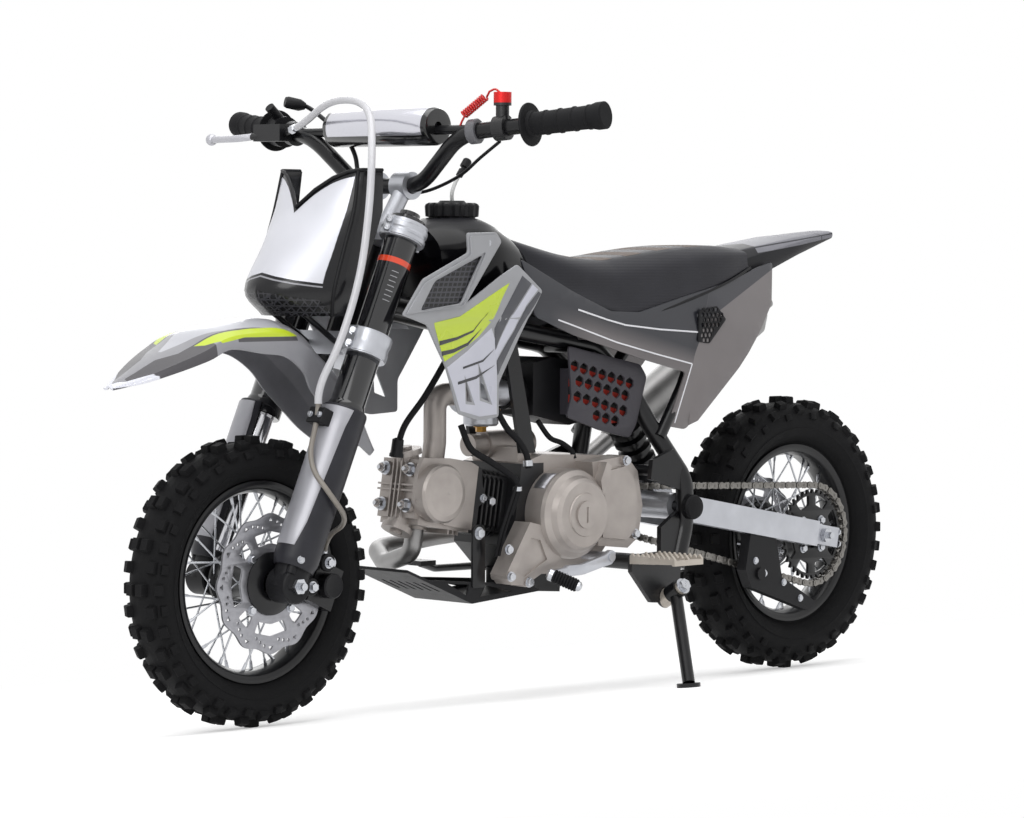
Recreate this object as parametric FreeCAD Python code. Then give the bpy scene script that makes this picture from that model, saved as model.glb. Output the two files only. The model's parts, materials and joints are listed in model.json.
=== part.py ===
import FreeCAD, Part
import math
import os
from FreeCAD import Vector as V

# A kids pit bike on its side stand. Millimetres. It is modelled upright, X forward, Y to the
# rider's left, Z up from the tyres' contact line, with x = 0 halfway between the axles.
# At the end everything leans onto the side stand and moves to the frame's origin.

# Driving sizes of the rolling chassis. The swingarm takes up what the wheelbase changes.
WHEELBASE = 1080.0
FRONT_AXLE_X = 540.0
BEAD_RADIUS = 127.0
RIM_FLANGE_HEIGHT = 9.0
RIM_DEPTH = 8.0
RIM_WALL = 3.0
FRONT_TYRE_HEIGHT = 68.0
REAR_TYRE_HEIGHT = 81.0
FRONT_TYRE_WIDTH = 72.0
REAR_TYRE_WIDTH = 84.0
FRONT_RIM_WIDTH = 44.0
REAR_RIM_WIDTH = 50.0
LEAN_DEG = 6.0

# Fork and steering
RAKE_DEG = 24.0
FORK_HALF_SPAN = 82.0
FORK_OFFSET = 25.0
LOWER_CLAMP_AT = 344.0
UPPER_CLAMP_AT = 510.0
LOWER_CLAMP_HEIGHT = 34.0
UPPER_CLAMP_HEIGHT = 26.0
OUTER_TUBE_RADIUS = 23.5
SLIDER_RADIUS = 18.0
HEAD_TUBE_RADIUS = 25.0

# Places that several pieces share
FRONT_RADIUS = BEAD_RADIUS + FRONT_TYRE_HEIGHT
REAR_RADIUS = BEAD_RADIUS + REAR_TYRE_HEIGHT
FRONT_AXLE = V(FRONT_AXLE_X, 0, FRONT_RADIUS)
REAR_AXLE = V(FRONT_AXLE_X - WHEELBASE, 0, REAR_RADIUS)
SWING_PIVOT = V(-200, 0, 268)
CRANK = V(12, 0, 266)
AXLE_RADIUS = 6.0
PIVOT_RADIUS = 8.0
FIT = 0.1
SEAT_GAP = 0.3
STEEL_TUBE_RADIUS = 13.0

RAKE = math.radians(RAKE_DEG)
PARTS = {}


def solid(shape):
    """The shape's only solid, or the compound if it has several."""
    shape = shape.removeSplitter() if len(shape.Solids) == 1 else shape
    return shape.Solids[0] if len(shape.Solids) == 1 else Part.makeCompound(shape.Solids)


def fuse(*shapes):
    """One shape from several that touch."""
    first, *rest = shapes
    return solid(first.fuse(rest)) if rest else solid(first)


def mirror(shape):
    """The same piece on the bike's other side."""
    return shape.mirror(V(0, 0, 0), V(0, 1, 0))


def rod(start, end, radius):
    """A round bar between two points."""
    start, end = V(*start), V(*end)
    return Part.makeCylinder(radius, (end - start).Length, start, end - start)


def cross_rod(x, z, y_from, y_to, radius):
    """A round bar along Y."""
    return rod((x, y_from, z), (x, y_to, z), radius)


def rounded_path(points, bend):
    """A wire of straight runs joined by tangent arcs of about the given radius."""
    points = [V(*p) for p in points]
    edges, start = [], points[0]
    for before, corner, after in zip(points, points[1:], points[2:]):
        back, on = before - corner, after - corner
        half_turn = (math.pi - back.getAngle(on)) / 2
        reach = min(bend * math.tan(half_turn), 0.45 * min(back.Length, on.Length))
        back.normalize()
        on.normalize()
        enter, leave = corner + back * reach, corner + on * reach
        radius = reach / math.tan(half_turn)
        middle = back + on
        middle.normalize()
        crown = corner + middle * (radius / math.cos(half_turn) - radius)
        edges.append(Part.makeLine(start, enter))
        edges.append(Part.Arc(enter, crown, leave).toShape())
        start = leave
    edges.append(Part.makeLine(start, points[-1]))
    return Part.Wire(edges)


def tube(points, radius, bend=60.0):
    """A bent round bar that follows a route."""
    path = rounded_path(points, bend)
    first, second = V(*points[0]), V(*points[1])
    profile = Part.Wire([Part.makeCircle(radius, first, second - first)])
    return Part.Solid(path.makePipeShell([profile], True, True))


def side_plate(outline, y_from, y_to):
    """A flat plate with an outline of (x, z) points, between two places across the bike."""
    wire = Part.makePolygon([V(x, y_from, z) for x, z in [*outline, outline[0]]])
    return Part.Face(wire).extrude(V(0, y_to - y_from, 0))


def turned(profile, y_axis_at):
    """A round body about the Y direction through a point, from (radius, y) points."""
    wire = Part.makePolygon([V(r, y, 0) for r, y in [*profile, profile[0]]])
    body = Part.Face(wire).revolve(V(0, 0, 0), V(0, 1, 0), 360)
    return solid(body).translated(y_axis_at)


def faceted(profile, centre, sides):
    """A ring about the Y direction with flat sides, from (radius, y) points."""
    corners = []
    for i in range(sides):
        a = 2 * math.pi * (i + 0.5) / sides
        corners.append([centre + V(r * math.cos(a), y, r * math.sin(a)) for r, y in profile])
    faces = []
    for this, following in zip(corners, corners[1:] + corners[:1]):
        for j in range(len(profile)):
            k = (j + 1) % len(profile)
            faces.append(Part.Face(Part.makePolygon([this[j], following[j], following[k], this[k], this[j]])))
    ring = Part.Solid(Part.Shell(faces))
    return ring if ring.Volume > 0 else ring.reversed()


def bar(start, end, radius, sides=6):
    """A straight bar with flat sides between two points."""
    start, end = V(*start), V(*end)
    turn = FreeCAD.Rotation(V(0, 0, 1), end - start)
    angles = [2 * math.pi * i / sides for i in range(sides + 1)]
    ring = [start + turn.multVec(V(radius * math.cos(a), radius * math.sin(a), 0)) for a in angles]
    return Part.Face(Part.makePolygon(ring)).extrude(end - start)


def loft(sections):
    """A ruled skin over closed outlines that all have as many points."""
    wires = [Part.makePolygon([V(*p) for p in [*s, s[0]]]) for s in sections]
    return Part.makeLoft(wires, True, True)


def on_fork(along, ahead, y):
    """A point by its distance up the fork from the axle, ahead of the legs' plane, and across."""
    up = V(-math.sin(RAKE), 0, math.cos(RAKE))
    forward = V(math.cos(RAKE), 0, math.sin(RAKE))
    return FRONT_AXLE + up * along + forward * ahead + V(0, y, 0)


def tilted(shape):
    """Places a shape made with its own Z up the fork and X ahead of it."""
    turn = FreeCAD.Rotation(V(0, 1, 0), -RAKE_DEG)
    placed = shape.copy()
    placed.Placement = FreeCAD.Placement(FRONT_AXLE, turn).multiply(placed.Placement)
    return placed


# Wheels: rim, spokes, hub and brake disc, with the sprocket on the rear one
HUB_RADIUS = 26.0
HUB_FLANGE_RADIUS = 36.0
HUB_HALF = 38.0
HUB_SIDES = 18
SPOKE_RADIUS = 1.8
SPOKE_COUNT = 36
DISC_THICKNESS = 3.5
FRONT_DISC_RADIUS = 94.0
REAR_DISC_RADIUS = 88.0
FRONT_DISC_Y = 47.0
REAR_DISC_Y = -54.0
DISC_CARRIER_RADIUS = 50.0
DISC_BORE = 18.0
DISC_BAND = 16.0
DISC_WAVE = 5.0
DISC_WAVES = 12
DISC_WAVE_STEPS = 4
# Windows round the carrier: half the angle each one spans, long and short in turn
DISC_WINDOWS = (0.42, 0.15) * 4
WHEEL_SIDES = 40
LUG_PITCHES = 20
LUG_HEIGHT = 9.0
LUG_ROOT = 5.0
LUG_TAPER = 0.86
LUG_LENGTH = 17.0
CENTRE_LUG_Y = 9.0
CROWN_FLAT = 17.5
SHOULDER_FALL = 0.16
SHOULDER_OUT = 0.93
WALL_RISE = 0.46
WALL_OUT = 0.95
# Rows of lugs: share of a pitch, share of the way out from the centre row, tilt in degrees, width
LUG_ROWS = (
    (0.0, 0.0, 0.0, 15.0),
    (0.5, 0.62, 34.0, 17.0),
)
CROWN_HALF = CENTRE_LUG_Y + LUG_ROWS[0][3] / 2 * LUG_TAPER


def carcass_profile(radius, width, rim_width):
    """Half the cross cut of a tyre under its lugs, as (radius, y) from the bead to the crown's edge."""
    half, crown, height = width / 2, radius - LUG_HEIGHT, radius - BEAD_RADIUS
    bead = rim_width / 2 - RIM_WALL - 2 * SEAT_GAP
    return [
        (BEAD_RADIUS + SEAT_GAP, bead - RIM_WALL),
        (BEAD_RADIUS + RIM_FLANGE_HEIGHT + SEAT_GAP, bead),
        (BEAD_RADIUS + height * WALL_RISE, half * WALL_OUT),
        (crown - height * SHOULDER_FALL, half * SHOULDER_OUT),
        (crown, CROWN_FLAT),
    ]


def carcass_radius(profile, y):
    """How far the carcass reaches from the axle at a distance across."""
    for (r_in, y_in), (r_out, y_out) in zip(profile, profile[1:]):
        if y_out <= y <= y_in:
            return r_in + (r_out - r_in) * (y_in - y) / (y_in - y_out)
    return profile[-1][0]


def lug(radius, y, angle, tilt, width):
    """A tapered tread block rooted in the carcass, its tip LUG_HEIGHT above it."""
    half, long = width / 2, LUG_LENGTH / 2
    block = Part.makeWedge(-half, -LUG_ROOT, -long, -long * LUG_TAPER, -half * LUG_TAPER,
                           half, LUG_HEIGHT, long, long * LUG_TAPER, half * LUG_TAPER)
    block.rotate(V(0, 0, 0), V(0, 0, 1), tilt - 90)
    block.translate(V(radius, y, 0))
    block.rotate(V(0, 0, 0), V(0, 1, 0), -math.degrees(angle))
    return block


def tyre(centre, radius, width, rim_width):
    """A knobbly tyre seated on the rim's shoulders, its lugs fused to the carcass."""
    half_profile = carcass_profile(radius, width, rim_width)
    profile = half_profile + [(r, -y) for r, y in reversed(half_profile)]
    lugs = []
    for pitch in range(LUG_PITCHES):
        for share, outward, tilt, lug_width in LUG_ROWS:
            y = CENTRE_LUG_Y + outward * (width / 2 - CENTRE_LUG_Y)
            angle = 2 * math.pi * (pitch + share) / LUG_PITCHES
            block = lug(carcass_radius(half_profile, y), y, angle, tilt, lug_width)
            lugs += [block, mirror(block)]
    carcass = faceted(profile, V(0, 0, 0), WHEEL_SIDES)
    return fuse(carcass, *lugs).translated(centre)


def rim(centre, width):
    """A drop-centre rim whose flanges hold the tyre's beads."""
    half, seat, well = width / 2, BEAD_RADIUS, BEAD_RADIUS - RIM_DEPTH
    flange = BEAD_RADIUS + RIM_FLANGE_HEIGHT
    profile = [(well, -half * 0.4), (seat - RIM_WALL, -half + RIM_WALL), (flange, -half)]
    profile += [(flange, -half + RIM_WALL), (seat, -half + 2 * RIM_WALL), (well + RIM_WALL, -half * 0.4)]
    profile += [(r, -y) for r, y in reversed(profile)]
    return faceted(profile, centre, WHEEL_SIDES)


def laced_hub(centre):
    """A flanged hub with its spokes, crossed in pairs, whose outer ends meet the rim."""
    profile = [(AXLE_RADIUS + FIT, -HUB_HALF), (HUB_FLANGE_RADIUS, -HUB_HALF)]
    profile += [(HUB_FLANGE_RADIUS, -HUB_HALF + 6), (HUB_RADIUS, -HUB_HALF + 12)]
    profile += [(r, -y) for r, y in reversed(profile)]
    spokes = []
    for i in range(SPOKE_COUNT):
        side = 1 if i % 2 else -1
        lead = 1 if i % 4 < 2 else -1
        at_rim = 2 * math.pi * (i + 0.5) / SPOKE_COUNT
        at_hub = at_rim + lead * math.radians(52)
        y_hub = side * (HUB_HALF - (2.0 if lead > 0 else 4.5))
        reach = HUB_FLANGE_RADIUS - 5
        start = centre + V(reach * math.cos(at_hub), y_hub, reach * math.sin(at_hub))
        tip = BEAD_RADIUS - RIM_DEPTH + 1.5
        end = centre + V(tip * math.cos(at_rim), side * 3, tip * math.sin(at_rim))
        spokes.append(bar(start, end, SPOKE_RADIUS))
    bore = cross_rod(centre.x, centre.z, -HUB_HALF, HUB_HALF, AXLE_RADIUS + FIT)
    blank = faceted([(1, profile[0][1]), *profile[1:-1], (1, profile[-1][1])], centre, HUB_SIDES)
    return blank.cut(bore), spokes


def wheel(name, centre, rim_width):
    """The rim, spokes and hub as one laced wheel."""
    hub, spokes = laced_hub(centre)
    PARTS[name] = fuse(rim(centre, rim_width), hub, *spokes)


def disc(centre, radius, y):
    """A brake disc with a waved edge and long windows round its carrier."""
    edge, steps = [], DISC_WAVES * DISC_WAVE_STEPS
    for i in range(steps):
        a = 2 * math.pi * i / steps
        r = radius - DISC_WAVE * (1 - math.cos(DISC_WAVES * a)) / 2
        edge.append((centre.x + r * math.cos(a), centre.z + r * math.sin(a)))
    y_from = y - DISC_THICKNESS / 2
    inner, outer = DISC_CARRIER_RADIUS + 4, radius - DISC_WAVE - DISC_BAND
    cuts = []
    for i, half in enumerate(DISC_WINDOWS):
        middle = 2 * math.pi * i / len(DISC_WINDOWS)
        arc = [(inner, middle - half), (inner, middle + half), (outer, middle + half), (outer, middle - half)]
        corners = [(centre.x + r * math.cos(a), centre.z + r * math.sin(a)) for r, a in arc]
        cuts.append(side_plate(corners, y_from, y_from + DISC_THICKNESS))
    return side_plate(edge, y_from, y_from + DISC_THICKNESS).cut(cuts)


PARTS["tyre_front"] = tyre(FRONT_AXLE, FRONT_RADIUS, FRONT_TYRE_WIDTH, FRONT_RIM_WIDTH)
PARTS["tyre_rear"] = tyre(REAR_AXLE, REAR_RADIUS, REAR_TYRE_WIDTH, REAR_RIM_WIDTH)
wheel("wheel_front", FRONT_AXLE, FRONT_RIM_WIDTH)
wheel("wheel_rear", REAR_AXLE, REAR_RIM_WIDTH)


def disc_on_carrier(centre, radius, y):
    """A brake disc with the ring that bolts it to the hub's flange."""
    inner = math.copysign(HUB_HALF, y)
    near = y - math.copysign(DISC_THICKNESS / 2, y)
    ring = cross_rod(centre.x, centre.z, min(near, inner), max(near, inner), DISC_CARRIER_RADIUS)
    bore = cross_rod(centre.x, centre.z, y - HUB_HALF, y + HUB_HALF, DISC_BORE)
    return fuse(disc(centre, radius, y), ring).cut(bore)


PARTS["disc_front"] = disc_on_carrier(FRONT_AXLE, FRONT_DISC_RADIUS, FRONT_DISC_Y)
PARTS["disc_rear"] = disc_on_carrier(REAR_AXLE, REAR_DISC_RADIUS, REAR_DISC_Y)

# Final drive: a sprocket on the rear hub and a fixed loop of chain round it
CHAIN_PITCH = 12.7
REAR_TEETH = 37
FRONT_TEETH = 14
CHAIN_Y = 62.0
CHAIN_OUTER_WIDTH = 14.0
CHAIN_PLATE_HEIGHT = 11.0
ROLLER_RADIUS = 3.9
CHAIN_GAP = 0.8
PLATE_WAIST = 8.0
OUTPUT_SHAFT = V(-80, 0, 271)


def pitch_radius(teeth):
    """The radius of a sprocket's chain line."""
    return CHAIN_PITCH / (2 * math.sin(math.pi / teeth))


def sprocket(centre, teeth, y, thickness):
    """A toothed plate whose tips stop short of the chain."""
    tip = pitch_radius(teeth) - CHAIN_PLATE_HEIGHT / 2 - CHAIN_GAP
    root = tip - 5.0
    points = []
    for i in range(teeth):
        for share, r in ((0.0, root), (0.3, tip), (0.5, tip), (0.8, root)):
            a = 2 * math.pi * (i + share) / teeth
            points.append(V(r * math.cos(a), 0, r * math.sin(a)))
    ring = Part.Face(Part.makePolygon([*points, points[0]])).extrude(V(0, thickness, 0))
    ring = ring.translated(centre + V(0, y - thickness / 2, 0))
    return ring


def rear_sprocket():
    """The sprocket with its lightening windows and its carrier on the hub."""
    thickness, windows = 5.0, 8
    ring = sprocket(REAR_AXLE, REAR_TEETH, CHAIN_Y, thickness)
    near = CHAIN_Y - thickness / 2
    cuts = []
    for i in range(windows):
        middle = 2 * math.pi * (i + 0.5) / windows
        corners = [(REAR_AXLE.x + r * math.cos(a), REAR_AXLE.z + r * math.sin(a)) for r, a in
                   ((44, middle - 0.22), (44, middle + 0.22), (60, middle + 0.26), (60, middle - 0.26))]
        cuts.append(side_plate(corners, near, near + thickness))
    carrier = cross_rod(REAR_AXLE.x, REAR_AXLE.z, HUB_HALF, near, 40)
    bore = cross_rod(REAR_AXLE.x, REAR_AXLE.z, HUB_HALF, near + thickness, DISC_BORE)
    return fuse(ring.cut(cuts), carrier).cut(bore)


def chain_loop():
    """The closed line of the chain: two tangent runs and the wraps round both sprockets."""
    r_rear, r_front = pitch_radius(REAR_TEETH), pitch_radius(FRONT_TEETH)
    line = OUTPUT_SHAFT - REAR_AXLE
    tilt = math.atan2(line.z, line.x)
    lead = math.acos((r_rear - r_front) / line.Length)

    def rim_point(centre, radius, angle):
        return centre + V(radius * math.cos(angle), CHAIN_Y, radius * math.sin(angle))

    up, down = tilt + lead, tilt - lead
    return [
        Part.makeLine(rim_point(REAR_AXLE, r_rear, up), rim_point(OUTPUT_SHAFT, r_front, up)),
        Part.Arc(rim_point(OUTPUT_SHAFT, r_front, up), rim_point(OUTPUT_SHAFT, r_front, tilt),
                 rim_point(OUTPUT_SHAFT, r_front, down)).toShape(),
        Part.makeLine(rim_point(OUTPUT_SHAFT, r_front, down), rim_point(REAR_AXLE, r_rear, down)),
        Part.Arc(rim_point(REAR_AXLE, r_rear, down), rim_point(REAR_AXLE, r_rear, tilt + math.pi),
                 rim_point(REAR_AXLE, r_rear, up)).toShape(),
    ]


def chain():
    """The chain as one loop, as wide as its plates, waisted between its pins."""
    edges = chain_loop()
    total = sum(edge.Length for edge in edges)
    links = round(total / CHAIN_PITCH)
    loops = {1: [], -1: []}
    for i in range(2 * links):
        at, which = total * i / (2 * links), 0
        while at > edges[which].Length:
            at -= edges[which].Length
            which += 1
        where = edges[which].getParameterByLength(at)
        point, along = edges[which].valueAt(where), edges[which].tangentAt(where)
        half = (PLATE_WAIST if i % 2 else CHAIN_PLATE_HEIGHT) / 2
        for side in (1, -1):
            loops[side].append((point.x - side * half * along.z, point.z + side * half * along.x))
    y_from, y_to = CHAIN_Y - CHAIN_OUTER_WIDTH / 2, CHAIN_Y + CHAIN_OUTER_WIDTH / 2
    return side_plate(loops[1], y_from, y_to).cut(side_plate(loops[-1], y_from, y_to))


PARTS["sprocket_rear"] = rear_sprocket()
PARTS["chain"] = chain()

# Front end: fork legs, clamps, axle, caliper
FORK_TOP_AT = UPPER_CLAMP_AT + UPPER_CLAMP_HEIGHT / 2 + 8
OUTER_TUBE_FOOT = 236.0
GUARD_TOP = 250.0
LEG_LUG_HALF = 19.0


def at_leg(shape, side):
    """Places a piece made round the local Z on one fork leg."""
    return tilted(shape.translated(V(0, side * FORK_HALF_SPAN, 0)))


def fork_upper(side):
    """The black outer tube that the clamps hold, with its seal collar and top cap."""
    tube_length = FORK_TOP_AT - OUTER_TUBE_FOOT
    body = Part.makeCylinder(OUTER_TUBE_RADIUS, tube_length, V(0, 0, OUTER_TUBE_FOOT))
    collar = Part.makeCylinder(OUTER_TUBE_RADIUS + 2.5, 24, V(0, 0, OUTER_TUBE_FOOT))
    cap = Part.makeCylinder(14, 9, V(0, 0, FORK_TOP_AT))
    bore = Part.makeCylinder(SLIDER_RADIUS + FIT, 60, V(0, 0, OUTER_TUBE_FOOT))
    return at_leg(fuse(body, collar, cap).cut(bore), side)


def fork_lower(side):
    """The slider, its axle lug and the guard over its front and outer side."""
    slider = Part.makeCylinder(SLIDER_RADIUS, OUTER_TUBE_FOOT + 60, V(0, 0, 0))
    lug = Part.makeBox(48, 2 * LEG_LUG_HALF, 62, V(-24, -LEG_LUG_HALF, -26))
    boss = Part.makeCylinder(24, 2 * LEG_LUG_HALF, V(0, -LEG_LUG_HALF, 0), V(0, 1, 0))
    reach = 31.0
    shell = Part.makeCylinder(reach, GUARD_TOP - 22, V(2, side * 2, 22))
    hollow = Part.makeCylinder(reach - 3.5, GUARD_TOP - 22, V(2, side * 2, 22))
    behind = Part.makeBox(40, 90, GUARD_TOP, V(-60, -45, 20))
    inner_side = Part.makeBox(80, 30, GUARD_TOP, V(-40, -38 if side > 0 else 8, 20))
    guard = shell.cut([hollow, behind, inner_side])
    rib = Part.makeBox(14, 8, 30, V(SLIDER_RADIUS - 3, -4, 60))
    bore = Part.makeCylinder(AXLE_RADIUS + FIT, 60, V(0, -30, 0), V(0, 1, 0))
    return at_leg(fuse(slider, lug, boss, rib, guard).cut(bore), side)


PARTS["fork_uppers"] = Part.makeCompound([fork_upper(1), fork_upper(-1)])
PARTS["fork_lowers"] = Part.makeCompound([fork_lower(1), fork_lower(-1)])


BRIDGE_FRONT = 8.0
STEM_RADIUS = 13.0


def clamp(at, height, reach, back):
    """A triple clamp: two split rings round the legs and a bridge that holds the stem."""
    low = at - height / 2
    bridge = Part.makeBox(back + BRIDGE_FRONT, 2 * FORK_HALF_SPAN, height, V(-back, -FORK_HALF_SPAN, low))
    hub = Part.makeCylinder(HEAD_TUBE_RADIUS + 2, height, V(-FORK_OFFSET, 0, low))
    solids, cuts = [bridge, hub], []
    for leg_y in (FORK_HALF_SPAN, -FORK_HALF_SPAN):
        solids.append(Part.makeCylinder(OUTER_TUBE_RADIUS + 7, height, V(0, leg_y, low)))
        solids.append(Part.makeBox(30, 16, height, V(reach - 22, leg_y - 8, low)))
        cuts.append(Part.makeCylinder(OUTER_TUBE_RADIUS + FIT, height, V(0, leg_y, low)))
    cuts += [Part.makeBox(back - 10, 30, height, V(-back, y - 15, low)) for y in (52, -52)]
    return fuse(*solids).cut(cuts)


def lower_clamp():
    """The lower clamp with the steering stem that turns in the head tube."""
    top = UPPER_CLAMP_AT - UPPER_CLAMP_HEIGHT / 2
    stem_length = top - LOWER_CLAMP_AT
    stem = Part.makeCylinder(STEM_RADIUS, stem_length, V(-FORK_OFFSET, 0, LOWER_CLAMP_AT))
    return tilted(fuse(clamp(LOWER_CLAMP_AT, LOWER_CLAMP_HEIGHT, 24, 32), stem))


BAR_TUBE_RADIUS = 11.1
BAR_CENTRE = on_fork(UPPER_CLAMP_AT + 79.5, -19, 0)
BAR_MOUNT_Y = 32.0


def bar_mount(side):
    """A handlebar riser with its clamp cap."""
    foot = on_fork(UPPER_CLAMP_AT + UPPER_CLAMP_HEIGHT / 2, -8, side * BAR_MOUNT_Y)
    top = BAR_CENTRE + V(0, side * BAR_MOUNT_Y, 0)
    riser = rod(foot - (top - foot) * 0.15, top, 12)
    ring = cross_rod(top.x, top.z, side * BAR_MOUNT_Y - 14, side * BAR_MOUNT_Y + 14, BAR_TUBE_RADIUS + 8)
    return fuse(riser, ring)


def upper_clamp():
    """The upper clamp with both handlebar risers."""
    body = tilted(clamp(UPPER_CLAMP_AT, UPPER_CLAMP_HEIGHT, 24, 36))
    bore = cross_rod(BAR_CENTRE.x, BAR_CENTRE.z, -80, 80, BAR_TUBE_RADIUS + FIT)
    return fuse(body, bar_mount(1), bar_mount(-1)).cut(bore)


PARTS["lower_clamp"] = lower_clamp()
PARTS["upper_clamp"] = upper_clamp()

NUT_THICKNESS = 7.0
NUT_RADIUS = 11.0
STUB_RADIUS = 5.0
STUB_LENGTH = 8.0
COLLAR_RADIUS = 11.0
NUT_Y = FORK_HALF_SPAN + LEG_LUG_HALF + SEAT_GAP


def axle(centre, nut_from, collar_to):
    """An axle with a hex nut and a turned-down end at each side, and collars beside the hub."""
    end = nut_from + NUT_THICKNESS
    pieces = [cross_rod(centre.x, centre.z, -end, end, AXLE_RADIUS)]
    for s in (1, -1):
        pieces.append(cross_rod(centre.x, centre.z, s * end, s * (end + STUB_LENGTH), STUB_RADIUS))
        pieces.append(bar(centre + V(0, s * nut_from, 0), centre + V(0, s * end, 0), NUT_RADIUS))
        collar = [s * (HUB_HALF + SEAT_GAP), s * (collar_to - SEAT_GAP)]
        pieces.append(cross_rod(centre.x, centre.z, *collar, COLLAR_RADIUS))
    return fuse(*pieces)


PARTS["axle_front"] = axle(FRONT_AXLE, NUT_Y, FORK_HALF_SPAN - LEG_LUG_HALF)


def front_caliper():
    """A two-piston caliper that straddles the disc, on a bracket bolted to the left lug."""
    at = V(-78, 0, 28)
    half = 18.0
    body = Part.makeBox(46, 2 * half, 58, at + V(-23, FRONT_DISC_Y - half, -29))
    body = body.fuse(Part.makeCylinder(17, 12, at + V(0, FRONT_DISC_Y + half, 0), V(0, 1, 0)))
    slot_width = DISC_THICKNESS + 4
    slot_from = V(0, FRONT_DISC_Y - slot_width / 2, 0)
    slot = Part.makeCylinder(FRONT_DISC_RADIUS + 4, slot_width, slot_from, V(0, 1, 0))
    bracket = Part.makeBox(62, 8, 34, V(-80, FORK_HALF_SPAN - LEG_LUG_HALF - SEAT_GAP - 8, 14))
    collar = Part.makeCylinder(14, 60, V(0, 40, 0), V(0, 1, 0))
    return tilted(fuse(body.cut(slot), bracket).cut([slot, collar]))


PARTS["caliper_front"] = front_caliper()

# Handlebar with its crossbar, pad, grips and brake lever
GRIP_Y_IN = 254.0
GRIP_Y_OUT = 364.0
GRIP_RADIUS = 16.0
BAR_GRIP = on_fork(UPPER_CLAMP_AT + 180.5, -22, 0)
PAD_RADIUS = 26.0
PAD_HALF = 104.0
CROSSBAR_Z = BAR_CENTRE.z + 75
PAD_Z = CROSSBAR_Z + 5
CROSSBAR_RADIUS = 6.5


def bar_route(side):
    """One side of the handlebar, from the middle outward."""
    return [
        (BAR_CENTRE.x, side * 0, BAR_CENTRE.z),
        (BAR_CENTRE.x, side * 62, BAR_CENTRE.z),
        (BAR_CENTRE.x + 9, side * 150, BAR_CENTRE.z + 70),
        (BAR_GRIP.x, side * (GRIP_Y_OUT - 4), BAR_GRIP.z),
    ]


def handlebar():
    """The bent bar and the straight crossbar between its rises."""
    half = tube(bar_route(1), BAR_TUBE_RADIUS, 45)
    cross = cross_rod(BAR_CENTRE.x + 7, CROSSBAR_Z, -166, 166, CROSSBAR_RADIUS)
    return fuse(half, mirror(half), cross)


PARTS["handlebar"] = handlebar()


def bar_pad():
    """A round foam pad over the crossbar."""
    at_x = BAR_CENTRE.x + 7
    body = cross_rod(at_x, PAD_Z, -PAD_HALF, PAD_HALF, PAD_RADIUS)
    return body.cut(cross_rod(at_x, CROSSBAR_Z, -PAD_HALF, PAD_HALF, CROSSBAR_RADIUS + SEAT_GAP))


PARTS["bar_pad"] = bar_pad()


def grip(side):
    """A rubber grip with its flange and end cap."""
    inner, outer = V(*bar_route(side)[2]), V(*bar_route(side)[3])
    way = outer - inner
    way.normalize()
    start = outer - way * (GRIP_Y_OUT - GRIP_Y_IN)
    body = Part.makeCylinder(GRIP_RADIUS, GRIP_Y_OUT - GRIP_Y_IN + 4, start, way)
    flange = Part.makeCylinder(29, 4, start, way)
    cap = Part.makeCylinder(GRIP_RADIUS + 2.5, 8, outer, way)
    bore = Part.makeCylinder(BAR_TUBE_RADIUS + FIT, GRIP_Y_OUT - GRIP_Y_IN, start, way)
    return fuse(body, flange, cap).cut(bore)


PARTS["grips"] = Part.makeCompound([grip(1), grip(-1)])


def on_bar(side, y):
    """The point on the bar's outer stretch at a distance across, and the bar's direction."""
    inner, outer = V(*bar_route(side)[2]), V(*bar_route(side)[3])
    share = (y - abs(inner.y)) / (abs(outer.y) - abs(inner.y))
    way = outer - inner
    point = inner + way * share
    way.normalize()
    return point, way


def throttle_housing():
    """The throttle drum's housing between the right grip and the brake lever."""
    point, way = on_bar(-1, GRIP_Y_IN - 4)
    body = Part.makeCylinder(22, 24, point - way * 24, way)
    spout = rod(point - way * 12 + V(0, 0, 14), point - way * 12 + V(24, 0, 34), 7)
    bore = Part.makeCylinder(BAR_TUBE_RADIUS + FIT, 60, point - way * 40, way)
    return fuse(body, spout).cut(bore)


MASTER_Y = GRIP_Y_IN - 4 - 24 - 18
MASTER_OUTLET = on_bar(-1, MASTER_Y)[0] + V(30, 34, 4)


def brake_master():
    """The front brake's master cylinder, its perch and its lever on the right side."""
    point, way = on_bar(-1, MASTER_Y)
    ring = Part.makeCylinder(17, 16, point, way * -1)
    body = Part.makeBox(24, 56, 24, point + V(14, -40, -12))
    body = body.cut(Part.makeCylinder(24, 60, point + way * 1.5, way))
    spout = rod(point + V(26, 14, 0), MASTER_OUTLET, 5)
    lever = tube([point + V(32, -32, -4), point + V(48, -62, -8), point + V(30, -140, -8)], 5.0, 40)
    knob = Part.makeSphere(8.5, point + V(30, -140, -8))
    bore = Part.makeCylinder(BAR_TUBE_RADIUS + FIT, 60, point - way * 30, way)
    return fuse(ring, body, spout, lever, knob).cut(bore)


def kill_switch():
    """The stop switch with its lanyard cap beside the left grip."""
    point, way = on_bar(1, GRIP_Y_IN - 32)
    ring = Part.makeCylinder(17, 18, point, way * -1)
    stalk = rod(point - way * 9, point - way * 9 + V(0, 0, 34), 9)
    bore = Part.makeCylinder(BAR_TUBE_RADIUS + FIT, 60, point - way * 40, way)
    cap = rod(point - way * 9 + V(0, 0, 30), point - way * 9 + V(0, 0, 48), 12)
    return fuse(ring, stalk, cap).cut(bore)


PARTS["throttle_housing"] = throttle_housing()
PARTS["brake_master"] = brake_master()
PARTS["kill_switch"] = kill_switch()

# Front bodywork: number plate and fender, both carried by the clamps
PANEL = 3.0


def by_wheel(ahead, above, y=0):
    """A point by its distances ahead of and above the front axle, and across."""
    return FRONT_AXLE + V(ahead, y, above)


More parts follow.
